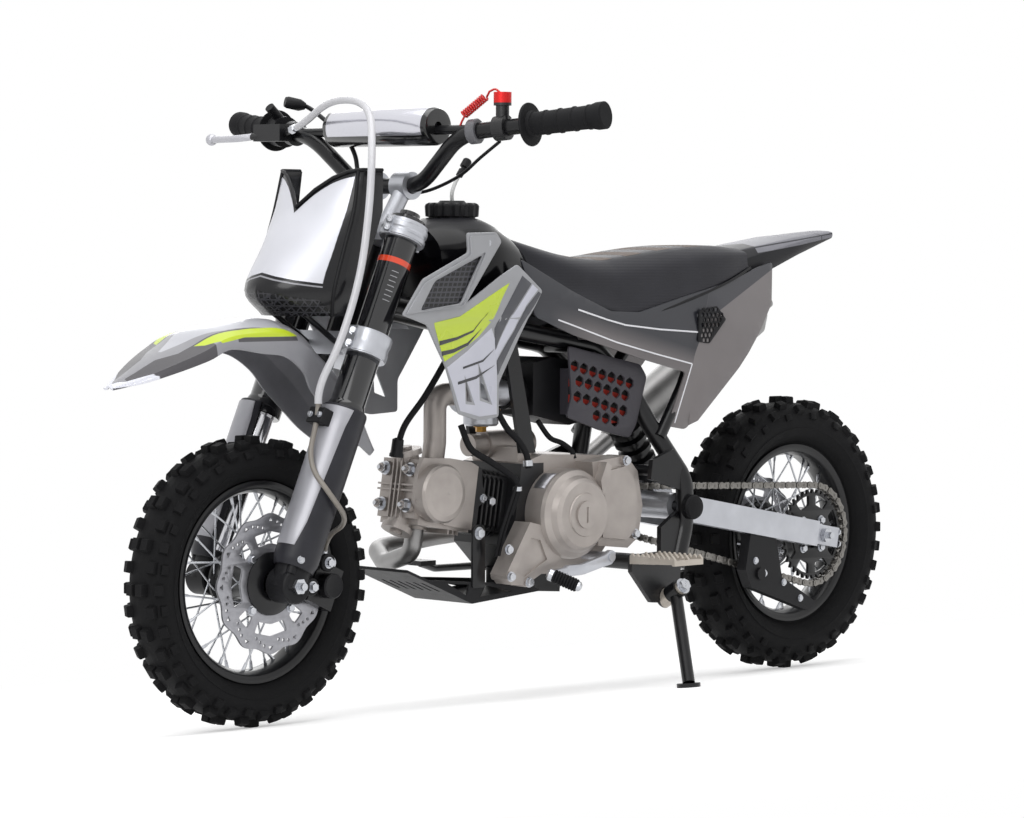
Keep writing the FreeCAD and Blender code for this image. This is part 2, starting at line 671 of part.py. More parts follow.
# Horizontal cuts of the number plate: height above the axle, nose ahead of it, half width,
# how far the corners sweep back from the nose, and how deep the sides run behind the corners
PLATE_ROWS = (
    (354, -44, 64, 52, 20),
    (388, -15, 74, 76, 30),
    (445, -54, 75, 56, 40),
    (496, -89, 73, 38, 44),
    (550, -119, 68, 22, 38),
)


def plate_section(above, nose, half, sweep, depth, inset=0.0):
    """One horizontal cut of the plate, or of the hollow inside it."""
    half, nose, depth = half - inset, nose - inset, depth + 4 * inset
    right = [(nose - 0.25 * sweep, half * 0.55), (nose - sweep, half), (nose - sweep - depth, half + 3)]
    points = [(nose, 0)] + right + [(x, -y) for x, y in reversed(right)]
    return [by_wheel(x, above, y) for x, y in points]


def plate_nose(above):
    """How far the plate's middle line stands ahead of the axle at a height above it."""
    for low, high in zip(PLATE_ROWS, PLATE_ROWS[1:]):
        if low[0] <= above <= high[0]:
            return low[1] + (high[1] - low[1]) * (above - low[0]) / (high[0] - low[0])


def number_plate():
    """A shell in front of the clamps, open at its back, with a notch in its top edge."""
    outer = loft([plate_section(*row) for row in PLATE_ROWS])
    first, last = PLATE_ROWS[0], PLATE_ROWS[-1]
    below = (first[0] - 30, first[1] - 22, *first[2:])
    over = (last[0] + 30, last[1] - 17, *last[2:])
    inner = loft([plate_section(*row, inset=PANEL) for row in (below, *PLATE_ROWS, over)])
    over_edge, deep = last[0] + 30, last[0] - 54
    corners = [by_wheel(-220, over_edge, 58), by_wheel(-220, deep, 0), by_wheel(-220, over_edge, -58)]
    notch = Part.Face(Part.makePolygon([*corners, corners[0]])).extrude(V(220, 0, 0))
    shell = outer.cut([inner, notch])
    stays = []
    for clamp_at, above in ((LOWER_CLAMP_AT, 378), (UPPER_CLAMP_AT, 476)):
        stays.append(rod(on_fork(clamp_at, 0, 0), by_wheel(plate_nose(above) - PANEL / 2, above), 5))
    behind = tilted(Part.makeBox(40, 40, FORK_TOP_AT, V(BRIDGE_FRONT + SEAT_GAP - 40, -20, 0)))
    return fuse(shell, *[stay.cut(behind) for stay in stays])


PARTS["number_plate"] = number_plate()


# Cross cuts of the front fender: ahead of and above the axle at the crown, half width, how far
# the edges drop below the crown, and how far the cut tips back in degrees
FENDER_ROWS = (
    (238, 266, 10, 3, -26), (210, 279, 31, 11, -26), (170, 300, 52, 18, -23), (130, 319, 66, 22, -20),
    (90, 338, 68, 26, -12), (27, 350, 62, 44, 0), (-24, 350, 60, 50, 9), (-70, 332, 56, 56, 20),
    (-100, 308, 50, 62, 28), (-135, 279, 50, 62, 34), (-174, 232, 48, 52, 46), (-205, 175, 40, 22, 58),
)


def fender_section(ahead, above, half, drop, tilt_deg):
    """An arched cross cut of the fender: its crown, shoulders and hanging sides."""
    tilt = math.radians(tilt_deg)
    down = V(math.sin(tilt), 0, -math.cos(tilt))
    line = [(half, drop), (half - 3, drop * 0.35 + 2), (half * 0.5, 3), (0, 0)]
    line += [(-y, fall) for y, fall in reversed(line[:-1])]
    inside = [(y * (1 - PANEL / half), fall + PANEL * (abs(y) < half)) for y, fall in reversed(line)]
    return [by_wheel(ahead, above, y) + down * fall for y, fall in line + inside]


def front_fender():
    """A high fender under the lower clamp, longest ahead of the wheel."""
    low = LOWER_CLAMP_AT - LOWER_CLAMP_HEIGHT / 2 - SEAT_GAP
    boss = tilted(Part.makeCylinder(15, 26, V(-6, 0, low - 26)))
    return fuse(loft([fender_section(*row) for row in FENDER_ROWS]), boss)


PARTS["fender_front"] = front_fender()


def brake_hose():
    """The front brake hose, from the lever round the plate's side and down the left leg."""
    guard = on_fork(225, 42, FORK_HALF_SPAN)
    end = on_fork(60, -78, FRONT_DISC_Y)
    way = MASTER_OUTLET - on_bar(-1, MASTER_Y)[0] - V(26, 14, 0)
    way.normalize()
    first = MASTER_OUTLET + way * SEAT_GAP
    route = [
        first, first + way * 30, by_wheel(-202, 651, -60), by_wheel(-184, 643, 40), by_wheel(-136, 575, 96),
        by_wheel(-116, 495, 112), by_wheel(-104, 405, 108), by_wheel(-74, 315, 100),
        guard + V(0, 0, 40), guard, on_fork(158, 42, FORK_HALF_SPAN + 8),
        on_fork(122, 14, FORK_HALF_SPAN + 47), on_fork(108, -44, FORK_HALF_SPAN + 28), end + V(0, 0, 34), end,
    ]
    return tube(route, 3.6, 40)


PARTS["brake_hose"] = brake_hose()

# Main frame: head tube, twin spars, rear uprights and seat rails
UPRIGHT_Y = 109.0
PEG_BAR = V(-150, 0, 186)
REAR_MOUNT = V(-140, 0, 322)
REAR_MOUNT_RADIUS = 8.0
HANGER_Y = 46.0
SHOCK_TOP = V(-152, 0, 440)
SHOCK_FOOT = V(-250, 0, 290)
SHOCK_BOLT_RADIUS = 5.0
SHOCK_COILS = 6


def head_tube():
    length = UPPER_CLAMP_AT - LOWER_CLAMP_AT - (UPPER_CLAMP_HEIGHT + LOWER_CLAMP_HEIGHT) / 2 - 2
    low = LOWER_CLAMP_AT + LOWER_CLAMP_HEIGHT / 2 + 1
    body = Part.makeCylinder(HEAD_TUBE_RADIUS, length, V(-FORK_OFFSET, 0, low))
    return tilted(body), tilted(Part.makeCylinder(STEM_RADIUS + 0.5, length, V(-FORK_OFFSET, 0, low)))


def frame():
    """The welded frame."""
    head, stem_bore = head_tube()
    spar = tube([
        on_fork(425, -30, 14), (270, 44, 556), (100, 50, 528), (-70, 50, 502),
        (-150, 46, 440), (-174, 66, 386), (-204, UPRIGHT_Y, 306), (-204, UPRIGHT_Y, 240),
        (-186, UPRIGHT_Y, PEG_BAR.z - 6),
    ], STEEL_TUBE_RADIUS, 60)
    rail = tube([(-30, 50, 508), (-180, 50, 552), (-388, 46, 606)], 9, 80)
    brace = tube([(-176, 84, 368), (-230, 78, 440), (-330, 50, 588)], 9, 60)
    pieces = [head, spar, mirror(spar), rail, mirror(rail), brace, mirror(brace)]
    pieces.append(cross_rod(-70, 500, -60, 60, 10))
    pieces.append(cross_rod(-370, 601, -48, 48, 8))
    pieces.append(cross_rod(100, 528, -50, 50, 10))
    pieces.append(cross_rod(SHOCK_TOP.x, SHOCK_TOP.z, -52, 52, SHOCK_BOLT_RADIUS))
    pieces.append(cross_rod(REAR_MOUNT.x, REAR_MOUNT.z, -UPRIGHT_Y, UPRIGHT_Y, REAR_MOUNT_RADIUS))
    upright = [UPRIGHT_Y - 4, UPRIGHT_Y + 4]
    lug = side_plate([(-128, 310), (-132, 338), (-176, 352), (-206, 310), (-200, 290)], *upright)
    hanger = side_plate([(114, 530), (90, 530), (46, 352), (76, 352)], HANGER_Y, HANGER_Y + 6)
    pieces += [lug, mirror(lug), hanger, mirror(hanger)]
    pieces.append(cross_rod(PEG_BAR.x - 34, PEG_BAR.z - 2, -UPRIGHT_Y, UPRIGHT_Y, 11))
    gusset = side_plate([(-196, 230), (-186, 262), (-150, 240), (-150, 190), (-190, 176)], *upright)
    pieces += [gusset, mirror(gusset)]
    body = fuse(*pieces)
    pivot = cross_rod(SWING_PIVOT.x, SWING_PIVOT.z, -130, 130, PIVOT_RADIUS + FIT)
    return body.cut([stem_bore, pivot])


PARTS["frame"] = frame()

# Swingarm, its pivot bolt, rear axle and shock
ARM_Y_IN = 73.0
ARM_WIDTH = 22.0
ARM_HEIGHT = 38.0


def swingarm():
    """Two box arms joined by the pivot tube and a cross brace."""
    start, end = SWING_PIVOT, REAR_AXLE
    way = end - start
    way.normalize()
    up = V(-way.z, 0, way.x) * -1
    half = ARM_HEIGHT / 2
    a, b = start + way * 10, end - way * 20
    outline = [a + up * half, b + up * half, b - up * half, a - up * half]
    arm = side_plate([(p.x, p.z) for p in outline], ARM_Y_IN, ARM_Y_IN + ARM_WIDTH)
    tail = [b + up * 15, end + way * 32 + up * 15, end + way * 32 - up * 15, b - up * 15]
    lug = side_plate([(p.x, p.z) for p in tail], ARM_Y_IN + 5, ARM_Y_IN + ARM_WIDTH - 5)
    boss = cross_rod(start.x, start.z, -ARM_Y_IN - ARM_WIDTH, ARM_Y_IN + ARM_WIDTH, 19)
    brace_at = start + way * 74
    brace = cross_rod(brace_at.x, brace_at.z, -ARM_Y_IN, ARM_Y_IN, 14)
    ear = side_plate([(-232, 294), (-252, 302), (-268, 292), (-286, 244), (-262, 244)], 16, 22)
    bolt = cross_rod(SHOCK_FOOT.x, SHOCK_FOOT.z, -22, 22, SHOCK_BOLT_RADIUS)
    body = fuse(arm, mirror(arm), lug, mirror(lug), boss, brace, ear, mirror(ear), bolt)
    pivot_bore = cross_rod(start.x, start.z, -130, 130, PIVOT_RADIUS + FIT)
    axle_bore = cross_rod(end.x, end.z, -130, 130, AXLE_RADIUS + FIT)
    return body.cut([pivot_bore, axle_bore])


PARTS["swingarm"] = swingarm()
PARTS["axle_rear"] = axle(REAR_AXLE, ARM_Y_IN + ARM_WIDTH - 5 + SEAT_GAP, ARM_Y_IN + 5)


def pivot_bolt():
    """The swingarm's bolt with a round cap at each end."""
    x, z, end = SWING_PIVOT.x, SWING_PIVOT.z, UPRIGHT_Y + 14
    body = cross_rod(x, z, -end, end, PIVOT_RADIUS)
    caps = [cross_rod(x, z, s * (end - 0.5), s * (end + 6), 18) for s in (1, -1)]
    return fuse(body, *caps)


PARTS["pivot_bolt"] = pivot_bolt()


def turned_along(profile, start, way):
    """A body turned about a line, from (radius, distance) points."""
    wire = Part.makePolygon([V(r, 0, d) for r, d in [*profile, profile[0]]])
    body = solid(Part.Face(wire).revolve(V(0, 0, 0), V(0, 0, 1), 360))
    body.Placement = FreeCAD.Placement(start, FreeCAD.Rotation(V(0, 0, 1), way))
    return body


def shock():
    """The rear shock: a damper body inside a coil spring."""
    low, high = SHOCK_FOOT, SHOCK_TOP
    way = high - low
    length = way.Length
    way.normalize()
    coil_radius = 25.0
    first, last = 40.0, length - 34
    profile = [(0, 0), (13, 0), (13, first - 12), (26, first - 12), (26, first - 4)]
    pitch = (last - first) / SHOCK_COILS
    for i in range(SHOCK_COILS):
        at = first + pitch * (i + 0.5)
        profile += [(17, at - pitch * 0.36), (coil_radius, at - pitch * 0.18)]
        profile += [(coil_radius, at + pitch * 0.18), (17, at + pitch * 0.36)]
    profile += [(26, last + 4), (26, last + 12), (13, last + 12), (13, length), (0, length)]
    eyes = [cross_rod(p.x, p.z, -12, 12, 12) for p in (low, high)]
    bores = [cross_rod(p.x, p.z, -16, 16, SHOCK_BOLT_RADIUS + FIT) for p in (low, high)]
    return fuse(turned_along(profile, low, way), *eyes).cut(bores)


PARTS["shock"] = shock()

# Engine: a horizontal single
HEAD_TILT = 9.0
CASE_FLOOR_FRONT = (60, 186)
CASE_FLOOR_REAR = (-60, 182)
BARREL_BASE = 80.0
BARREL_FINS = 6
FIN_PITCH = 9.0
RIB_CORNER = 14.0
STUD_STEP = 25.0
STUD_Z = 4.0
BARREL_TURN = FreeCAD.Rotation(V(0, 1, 0), -HEAD_TILT)


def from_crank(x, y, z):
    """A point by its place along the barrel's axis, across, and square to both."""
    return CRANK + BARREL_TURN.multVec(V(x, y, z))


def barrel_frame(shape):
    """Places a piece made along local X from the crank's centre."""
    placed = shape.copy()
    placed.Placement = FreeCAD.Placement(CRANK, BARREL_TURN).multiply(placed.Placement)
    return placed


def stator_cover():
    """The round left cover: a dished drum with a raised face and a slotted plug in its middle."""
    profile = [(0, 60), (64, 60), (64, 92), (62, 98), (55, 104), (51, 112), (46, 117), (31, 117)]
    drum = turned([*profile, (30, 119), (0, 119)], CRANK)
    plug = cross_rod(CRANK.x, CRANK.z, 119, 122, 19)
    slot = Part.makeBox(4, 3, 22, CRANK + V(-2, 120.5, -11))
    ridge = side_plate([(-42, 338), (-52, 332), (-44, 298), (-34, 292), (-30, 312)], 60, 108)
    return fuse(drum, plug, ridge).cut(slot)


def sprocket_cover():
    """The flat cover behind it, stepped down over the output shaft and bolted at its corners."""
    outline = [(-26, 338), (-96, 345), (-120, 322), (-131, 271), (-122, 226), (-100, 212), (-40, 218)]
    inner = [(-40, 322), (-90, 330), (-108, 310), (-117, 271), (-110, 236), (-94, 224), (-44, 230)]
    plate = side_plate(outline, 60, 94).fuse(side_plate(inner, 93, 99))
    bosses = [cross_rod(x, z, 60, 98, 7) for x, z in ((-92, 338), (-112, 232))]
    return plate.fuse(bosses).cut(cross_rod(CRANK.x, CRANK.z, 59, 100, 63))


def shift_housing():
    """The triangular lower corner that carries the shift shaft, with a recess in its face."""
    outline = [(144, 186), (132, 172), (104, 170), (34, 203), (60, 250), (96, 258)]
    recess = [(124, 190), (106, 182), (62, 204), (76, 232), (94, 236)]
    bosses = [cross_rod(x, z, 60, 94, 7) for x, z in ((136, 184), (100, 174))]
    return side_plate(outline, 60, 92).cut(side_plate(recess, 89, 93)).fuse(bosses)


def clutch_cover():
    """The round right cover with its filler cap and the kick start shaft's boss."""
    profile = [(0, -58), (66, -58), (66, -100), (62, -108), (54, -113), (40, -116), (0, -116)]
    cover = turned(profile, V(-6, 0, 262))
    filler = rod((32, -82, 300), (52, -82, 322), 12)
    return fuse(cover, filler, cross_rod(-88, 222, -58, -112, 14))


def engine_case():
    """The crankcase with its covers, output shaft, starter motor and mounting lugs."""
    barrel_face = [(p.x, p.z) for p in (from_crank(BARREL_BASE, 0, 60), from_crank(BARREL_BASE, 0, -56))]
    back = [(-112, 236), (-118, 300), (-92, 344), (40, 350)]
    body = side_plate([*back, *barrel_face, CASE_FLOOR_FRONT, CASE_FLOOR_REAR], -58, 60)
    ribs = [side_plate([(58, 186), (-58, 182), (-46, 176), (48, 179)], y, y + 5) for y in (-46, 38)]
    well = cross_rod(OUTPUT_SHAFT.x, OUTPUT_SHAFT.z, 50, 76, 42)
    gate = side_plate([(-80, 313), (-200, 318), (-200, 212), (-80, 227)], 50, 76)
    shaft = cross_rod(OUTPUT_SHAFT.x, OUTPUT_SHAFT.z, 48, 74, 9)
    drive = sprocket(OUTPUT_SHAFT, FRONT_TEETH, CHAIN_Y, 5)
    starter = fuse(rod((-6, -18, 362), (84, -18, 362), 20), rod((84, -18, 362), (112, -18, 362), 16))
    top_lug = Part.makeBox(28, 2 * (HANGER_Y - SEAT_GAP), 26, V(48, -HANGER_Y + SEAT_GAP, 334))
    ear = [(-100, 338), (-136, 338), (-156, 322), (-136, 306), (-100, 300)]
    rear_lugs = [side_plate(ear, y, y + 9) for y in (-30, 21)]
    covers = [stator_cover(), sprocket_cover(), shift_housing(), clutch_cover()]
    case = fuse(body, *ribs, *covers, starter, top_lug, *rear_lugs)
    mount = cross_rod(REAR_MOUNT.x, REAR_MOUNT.z, -40, 40, REAR_MOUNT_RADIUS + FIT)
    return fuse(case.cut([well, gate, mount]), shaft, drive)


def head_rib(along, half_y, half_z, thickness):
    """One cooling fin across the barrel's axis, its corners cut off."""
    low_y, low_z = half_y - RIB_CORNER, half_z - RIB_CORNER
    outline = [(half_y, low_z), (low_y, half_z), (-low_y, half_z), (-half_y, low_z)]
    outline += [(-y, -z) for y, z in outline]
    corners = [V(along, y, z) for y, z in [*outline, outline[0]]]
    return Part.Face(Part.makePolygon(corners)).extrude(V(thickness, 0, 0))


def tappet_cover(up):
    """A round inspection cover on its neck, above or below the head, leaning forward."""
    way = V(0.35, 0, up)
    way.normalize()
    profile = [(0, 0), (17, 0), (17, 34), (22, 34), (22, 42), (9, 42), (9, 46), (0, 46)]
    return turned_along(profile, V(236, 0, up * 18), way)


def cam_cover():
    """The left side of the head: an eared flange under a round cover with a domed face."""
    outline = [(256, 46), (205, 52), (164, 52), (141, 45), (136, 22), (128, 9), (128, 0), (139, -8)]
    outline += [(140, -36), (148, -42), (197, -41), (248, -33), (262, -14), (262, 26)]
    flange = side_plate(outline, 36, 44)
    dome = turned([(0, 42), (41, 42), (41, 58), (38, 62), (30, 65), (16, 66.5), (0, 67)], V(223, 0, 1))
    return fuse(flange, dome)


def head_front():
    """The front of the head: crossed ribs between four stud towers, each with its nut."""
    pieces = [Part.makeBox(10, 74, 82, V(244, -37, -38))]
    pieces += [Part.makeBox(18, 2.5, 82, V(244, y, -38)) for y in (-9.5, -1.2, 7)]
    pieces += [Part.makeBox(16, 74, 2.5, V(244, -37, STUD_Z + z)) for z in (-5, 2.5)]
    for y in (-STUD_STEP, STUD_STEP):
        for z in (STUD_Z - STUD_STEP, STUD_Z + STUD_STEP):
            pieces.append(Part.makeCylinder(10, 16, V(244, y, z), V(1, 0, 0)))
            pieces.append(Part.makeCylinder(6, 12, V(258, y, z), V(1, 0, 0)))
    return fuse(*pieces)


def engine_top():
    """The barrel and its fins, the head with its cam cover, ports and tappet covers, and its front."""
    core = Part.makeBox(152 - BARREL_BASE, 72, 78, V(BARREL_BASE + FIT, -36, -39))
    fins = [head_rib(92 + FIN_PITCH * i, 42, 46, 3.2) for i in range(BARREL_FINS)]
    housing = Part.makeBox(98, 76, 90, V(148, -38, -46))
    low_fins = [Part.makeBox(3, 70, 8, V(164 + FIN_PITCH * i, -35, -52)) for i in range(3)]
    in_flange = Part.makeBox(44, 64, 8, V(174, -32, 42))
    out_port = rod((205, -10, -40), (205, -10, -50), 17)
    return barrel_frame(fuse(core, *fins, housing, *low_fins, in_flange, out_port, cam_cover(), head_front(),
                             tappet_cover(1), tappet_cover(-1)))


PARTS["engine_case"] = engine_case()
PARTS["engine_top"] = engine_top()

CARB_AT = V(104, 0, 436)


def intake():
    """The intake elbow from the head up to the carburettor."""
    foot, above = from_crank(196, 0, 50 + SEAT_GAP), from_crank(196, 0, 74)
    return tube([foot, above, (above.x, 0, CARB_AT.z), (146 + SEAT_GAP, 0, CARB_AT.z)], 16, 34)


def carburettor():
    """The carburettor: its barrel and flange, a stepped float bowl and the slide's tower."""
    barrel = rod((146, 0, CARB_AT.z), (62, 0, CARB_AT.z), 19)
    bowl = [(0, 390), (22, 390), (25, 393), (25, 408), (28, 409), (28, 414), (24, 416), (24, 424)]
    profile = [*bowl, (17, 426), (17, 486), (20, 487), (20, 500), (0, 500)]
    body = turned_along(profile, V(CARB_AT.x, 0, 0), V(0, 0, 1))
    flange = rod((142, 0, CARB_AT.z), (146, 0, CARB_AT.z), 27)
    return fuse(barrel, body, flange)


PARTS["intake"] = intake()
PARTS["carburettor"] = carburettor()


def airbox():
    """The airbox under the seat with its mouth on the carburettor."""
    outline = [(34, 404), (34, 478), (-6, 486), (-70, 476), (-112, 450), (-104, 400), (-40, 388)]
    body = side_plate(outline, -34, 34)
    mouth = rod((62 - SEAT_GAP, 0, CARB_AT.z), (20, 0, CARB_AT.z), 24)
    return fuse(body, mouth)


COVER_OUTLINE = [
    (-1, 503), (-150, 474), (-164, 456), (-142, 386), (-128, 368), (-66, 381), (2, 402), (-8, 430),
]
COVER_Y = (66.0, 70.0)
HOLE_STEP = V(-19, 0, -4.5)
# Rows of holes: how many, and the first one's x and z
HOLE_ROWS = ((7, -14, 474), (6, -24, 452), (6, -20, 430), (3, -60, 402))


def airbox_cover():
    """The left cover of the airbox with rows of six-sided holes."""
    y_in, y_out = COVER_Y
    hole = [(-6, 0), (-4, 7), (4, 7), (6, 0), (3, -7), (-3, -7)]
    holes = []
    for count, x, z in HOLE_ROWS:
        for i in range(count):
            at = V(x, 0, z) + HOLE_STEP * i
            holes.append(side_plate([(at.x + dx, at.z + dz) for dx, dz in hole], y_in - 1, y_out + 1))
    lip = side_plate([(-20, 474), (-70, 464), (-100, 440), (-96, 404), (-20, 412)], 34 + SEAT_GAP, y_in)
    return fuse(side_plate(COVER_OUTLINE, y_in, y_out).cut(holes), lip)


PARTS["airbox"] = airbox()
PARTS["airbox_cover"] = airbox_cover()


SILENCER_FROM = V(-300, -138, 352)
SILENCER_TO = V(-590, -96, 548)


def exhaust_header():
    """The header pipe from the head's underside along the right side to the silencer."""
    way = SILENCER_TO - SILENCER_FROM
    way.normalize()
    from_head = [from_crank(205, -10, -50 - SEAT_GAP), from_crank(205, -10, -84)]
    along_case = [(214, -80, 196), (180, -136, 212), (60, -142, 222), (-160, -146, 236)]
    to_can = [SILENCER_FROM - way * 80, SILENCER_FROM - way * SEAT_GAP]
    return tube([*from_head, *along_case, *to_can], 13, 40)


def silencer():
    """The silencer can with its end cap and outlet."""
    way = SILENCER_TO - SILENCER_FROM
    length = way.Length
    way.normalize()
    body = Part.makeCylinder(34, length - 60, SILENCER_FROM + way * 40, way)
    cone = Part.makeCone(14, 34, 40, SILENCER_FROM, way)
    end = Part.makeCone(34, 22, 20, SILENCER_FROM + way * (length - 20), way)
    outlet = Part.makeCylinder(13, 26, SILENCER_FROM + way * (length - 2), way)
    return fuse(body, cone, end, outlet)


PARTS["exhaust_header"] = exhaust_header()
PARTS["silencer"] = silencer()


def skid_plate():
    """The folded plate under the engine, slotted at its front, with open triangles in its sides."""
    half = 58.0
    plate = side_plate([(300, 196), (176, 146), (44, 156), (44, 160), (175, 150), (300, 200)], -half, half)
    wing = side_plate([(262, 184), (176, 146), (44, 156), (60, 168), (170, 176)], half - 3, half)
    windows = [side_plate(points, half - 4, half + 1) for points in
               ([(224, 177), (186, 158), (182, 173)], [(160, 155), (96, 159), (150, 170)])]
    wing = wing.cut(windows)
    slots = [Part.makeBox(34, 5, 60, V(222, y - 2.5, 140)) for y in (-40, -24, -8, 8, 24, 40)]
    floor_rise = (CASE_FLOOR_FRONT[1] - CASE_FLOOR_REAR[1]) / (CASE_FLOOR_FRONT[0] - CASE_FLOOR_REAR[0])
    stud_x, stud_radius = 52, 9
    top = CASE_FLOOR_FRONT[1] - floor_rise * (CASE_FLOOR_FRONT[0] - stud_x + stud_radius) - SEAT_GAP
    studs = [rod((stud_x, y, 157), (stud_x, y, top), stud_radius) for y in (-28, 28)]
    return fuse(plate.cut(slots), wing, mirror(wing), *studs)


PARTS["skid_plate"] = skid_plate()

# Footpegs on their cross bar, controls and the side stand
PEG_Y_IN = 124.0
PEG_Y_OUT = 212.0
PEG_TEETH = 9
PEG_TOP = 208.0
PEG_RAIL_X = (-132.0, -104.0, -76.0)
STAND_PIVOT = V(-148, 144, 150)
STAND_AXIS = V(0.036, 0.872, 0.488)
STAND_BOLT_RADIUS = 6.0
STAND_HUB_RADIUS = 13.0
STAND_HUB_HALF = 11.0


def peg(side):
    """A footpeg: three toothed rails between its root and its end plate."""
    pitch = (PEG_Y_OUT - PEG_Y_IN) / PEG_TEETH
    profile = [(PEG_Y_IN, PEG_TOP - 16)]
    for i in range(PEG_TEETH):
        profile += [(PEG_Y_IN + pitch * i, PEG_TOP - 5), (PEG_Y_IN + pitch * (i + 0.5), PEG_TOP)]
    profile += [(PEG_Y_OUT, PEG_TOP - 5), (PEG_Y_OUT, PEG_TOP - 12)]
    rails = []
    for x in PEG_RAIL_X:
        corners = [V(x, side * y, z) for y, z in [*profile, profile[0]]]
        rails.append(Part.Face(Part.makePolygon(corners)).extrude(V(4, 0, 0)))
    reach = PEG_RAIL_X[-1] + 4 - PEG_RAIL_X[0]
    for y in (PEG_Y_IN, (PEG_Y_IN + PEG_Y_OUT) / 2, PEG_Y_OUT - 5):
        rails.append(Part.makeBox(reach, 5, 8, V(PEG_RAIL_X[0], y if side > 0 else -y - 5, PEG_TOP - 14)))
    return fuse(*rails)


def footpegs():
    """Both toothed footpegs and the bar that carries them under the frame."""
    bar_under = cross_rod(PEG_BAR.x, PEG_BAR.z, -PEG_Y_IN, PEG_Y_IN, 11)
    outline = [(-78, 204), (-78, 180), (-120, 134), (-176, 130), (-182, 190), (-140, 206)]
    bracket = side_plate(outline, PEG_Y_IN - 8, PEG_Y_IN)
    inner = STAND_PIVOT - STAND_AXIS * (STAND_HUB_HALF + SEAT_GAP)
    outer = STAND_PIVOT + STAND_AXIS * (STAND_HUB_HALF + SEAT_GAP)
    boss = rod(inner - STAND_AXIS * 18, inner, STAND_HUB_RADIUS)
    bolt = rod(inner, outer, STAND_BOLT_RADIUS)
    head = rod(outer, outer + STAND_AXIS * 6, 10)
    return fuse(bar_under, bracket, mirror(bracket), peg(1), peg(-1), boss, bolt, head)


PARTS["footpegs"] = footpegs().cut(PARTS["frame"])


def shift_lever():
    """The gear lever on its shaft, ending in a short cross bar."""
    arm = tube([(-32, 96, 202), (-26, 120, 202), (60, 132, 186)], 5.5, 20)
    tip = rod((60, 126, 186), (60, 168, 186), 9)
    hub = cross_rod(-32, 202, 92, 104, 10)
    shaft = cross_rod(-32, 202, 60 + SEAT_GAP, 94, 6)
    return fuse(arm, tip, hub, shaft)


def brake_pedal():
    """The rear brake pedal, turning on the footpeg bar."""
    arm = tube([(-150, -134, 186), (-60, -168, 172), (40, -160, 174), (78, -150, 184)], 5.5, 30)
    pad = Part.makeBox(30, 40, 7, V(66, -170, 182))
    hub = cross_rod(-150, 186, -146, -PEG_Y_IN, 12)
    return fuse(arm, pad, hub)


def kick_starter():
    """The kick starter, folded up against the clutch cover."""
    hub = cross_rod(-88, 222, -126, -112, 15)
    arm = tube([(-88, -119, 224), (-90, -121, 262), (-96, -168, 300), (-92, -172, 356)], 6, 20)
    pad = rod((-92, -172, 352), (-92, -212, 352), 8)
    return fuse(hub, arm, pad)


PARTS["shift_lever"] = shift_lever()
PARTS["brake_pedal"] = brake_pedal()
PARTS["kick_starter"] = kick_starter()

STAND_FOOT_Y = 208.0
STAND_FOOT_X = -108.0
STAND_TUBE_RADIUS = 9.0
LEAN = math.radians(LEAN_DEG)


def ground_at(y):
    """The ground's height under the upright bike at a distance across, once it leans."""
    return (y - CROWN_HALF) * math.tan(LEAN)


def side_stand():
    """The side stand, down: its fork on the pivot, its leg and its foot."""
    foot = V(STAND_FOOT_X, STAND_FOOT_Y, ground_at(STAND_FOOT_Y) + 6)
    leg = rod(STAND_PIVOT + (foot - STAND_PIVOT) * 0.07, foot, STAND_TUBE_RADIUS)
    reach = STAND_AXIS * STAND_HUB_HALF
    hub = rod(STAND_PIVOT - reach, STAND_PIVOT + reach, STAND_HUB_RADIUS)
    normal = V(0, -math.sin(LEAN), math.cos(LEAN))
    sole = Part.makeCylinder(17, 6, V(STAND_FOOT_X, STAND_FOOT_Y, ground_at(STAND_FOOT_Y)), normal)
    bore = rod(STAND_PIVOT - reach * 2, STAND_PIVOT + reach * 2, STAND_BOLT_RADIUS + FIT)
    return fuse(leg, hub, sole).cut(bore)


PARTS["side_stand"] = side_stand()


def arm_underside(x):
    """The height of the swingarm's lower face at a place along the bike."""
    slope = (REAR_AXLE.z - SWING_PIVOT.z) / (REAR_AXLE.x - SWING_PIVOT.x)
    return SWING_PIVOT.z + slope * (x - SWING_PIVOT.x) - ARM_HEIGHT / 2 * math.hypot(1, slope)


def chain_guide():
    """The plate under the swingarm that keeps the lower chain run in line, with a rubbing block."""
    x, z = REAR_AXLE.x, REAR_AXLE.z
    top = [(x + ahead, arm_underside(x + ahead) - SEAT_GAP) for ahead in (171, 113)]
    low = [(100, -58), (21, -100), (40, -112), (168, -70), (182, -43)]
    plate = side_plate([*top, *[(x + ahead, z + above) for ahead, above in low]], 74, 92)
    return fuse(plate, cross_rod(x + 150, z - 50, 73, 96, 9))


PARTS["chain_guide"] = chain_guide()


# Tank, seat and side bodywork
def ring_section(x, z_top, z_bottom, top_half, side_half, bottom_half):
    """An eight-sided cross cut of a body panel or tank."""
    z_high = z_top - 0.25 * (z_top - z_bottom)
    z_low = z_bottom + 0.3 * (z_top - z_bottom)
    right = [(x, top_half, z_top), (x, side_half, z_high), (x, side_half, z_low), (x, bottom_half, z_bottom)]
    return right + [(px, -py, pz) for px, py, pz in reversed(right)]


TANK_ROWS = (
    # x, top, bottom, half width of the top, the sides and the bottom
    (246, 672, 560, 30, 66, 52), (200, 682, 545, 40, 84, 70), (150, 684, 545, 42, 84, 74),
    (96, 664, 560, 34, 70, 74), (60, 636, 560, 26, 56, 60),
)


def fuel_tank():
    """The tank between the head tube and the seat's nose."""
    return loft([ring_section(*row) for row in TANK_ROWS])


TANK_CAP = V(163, 0, 680)
CAP_GROOVES = 14


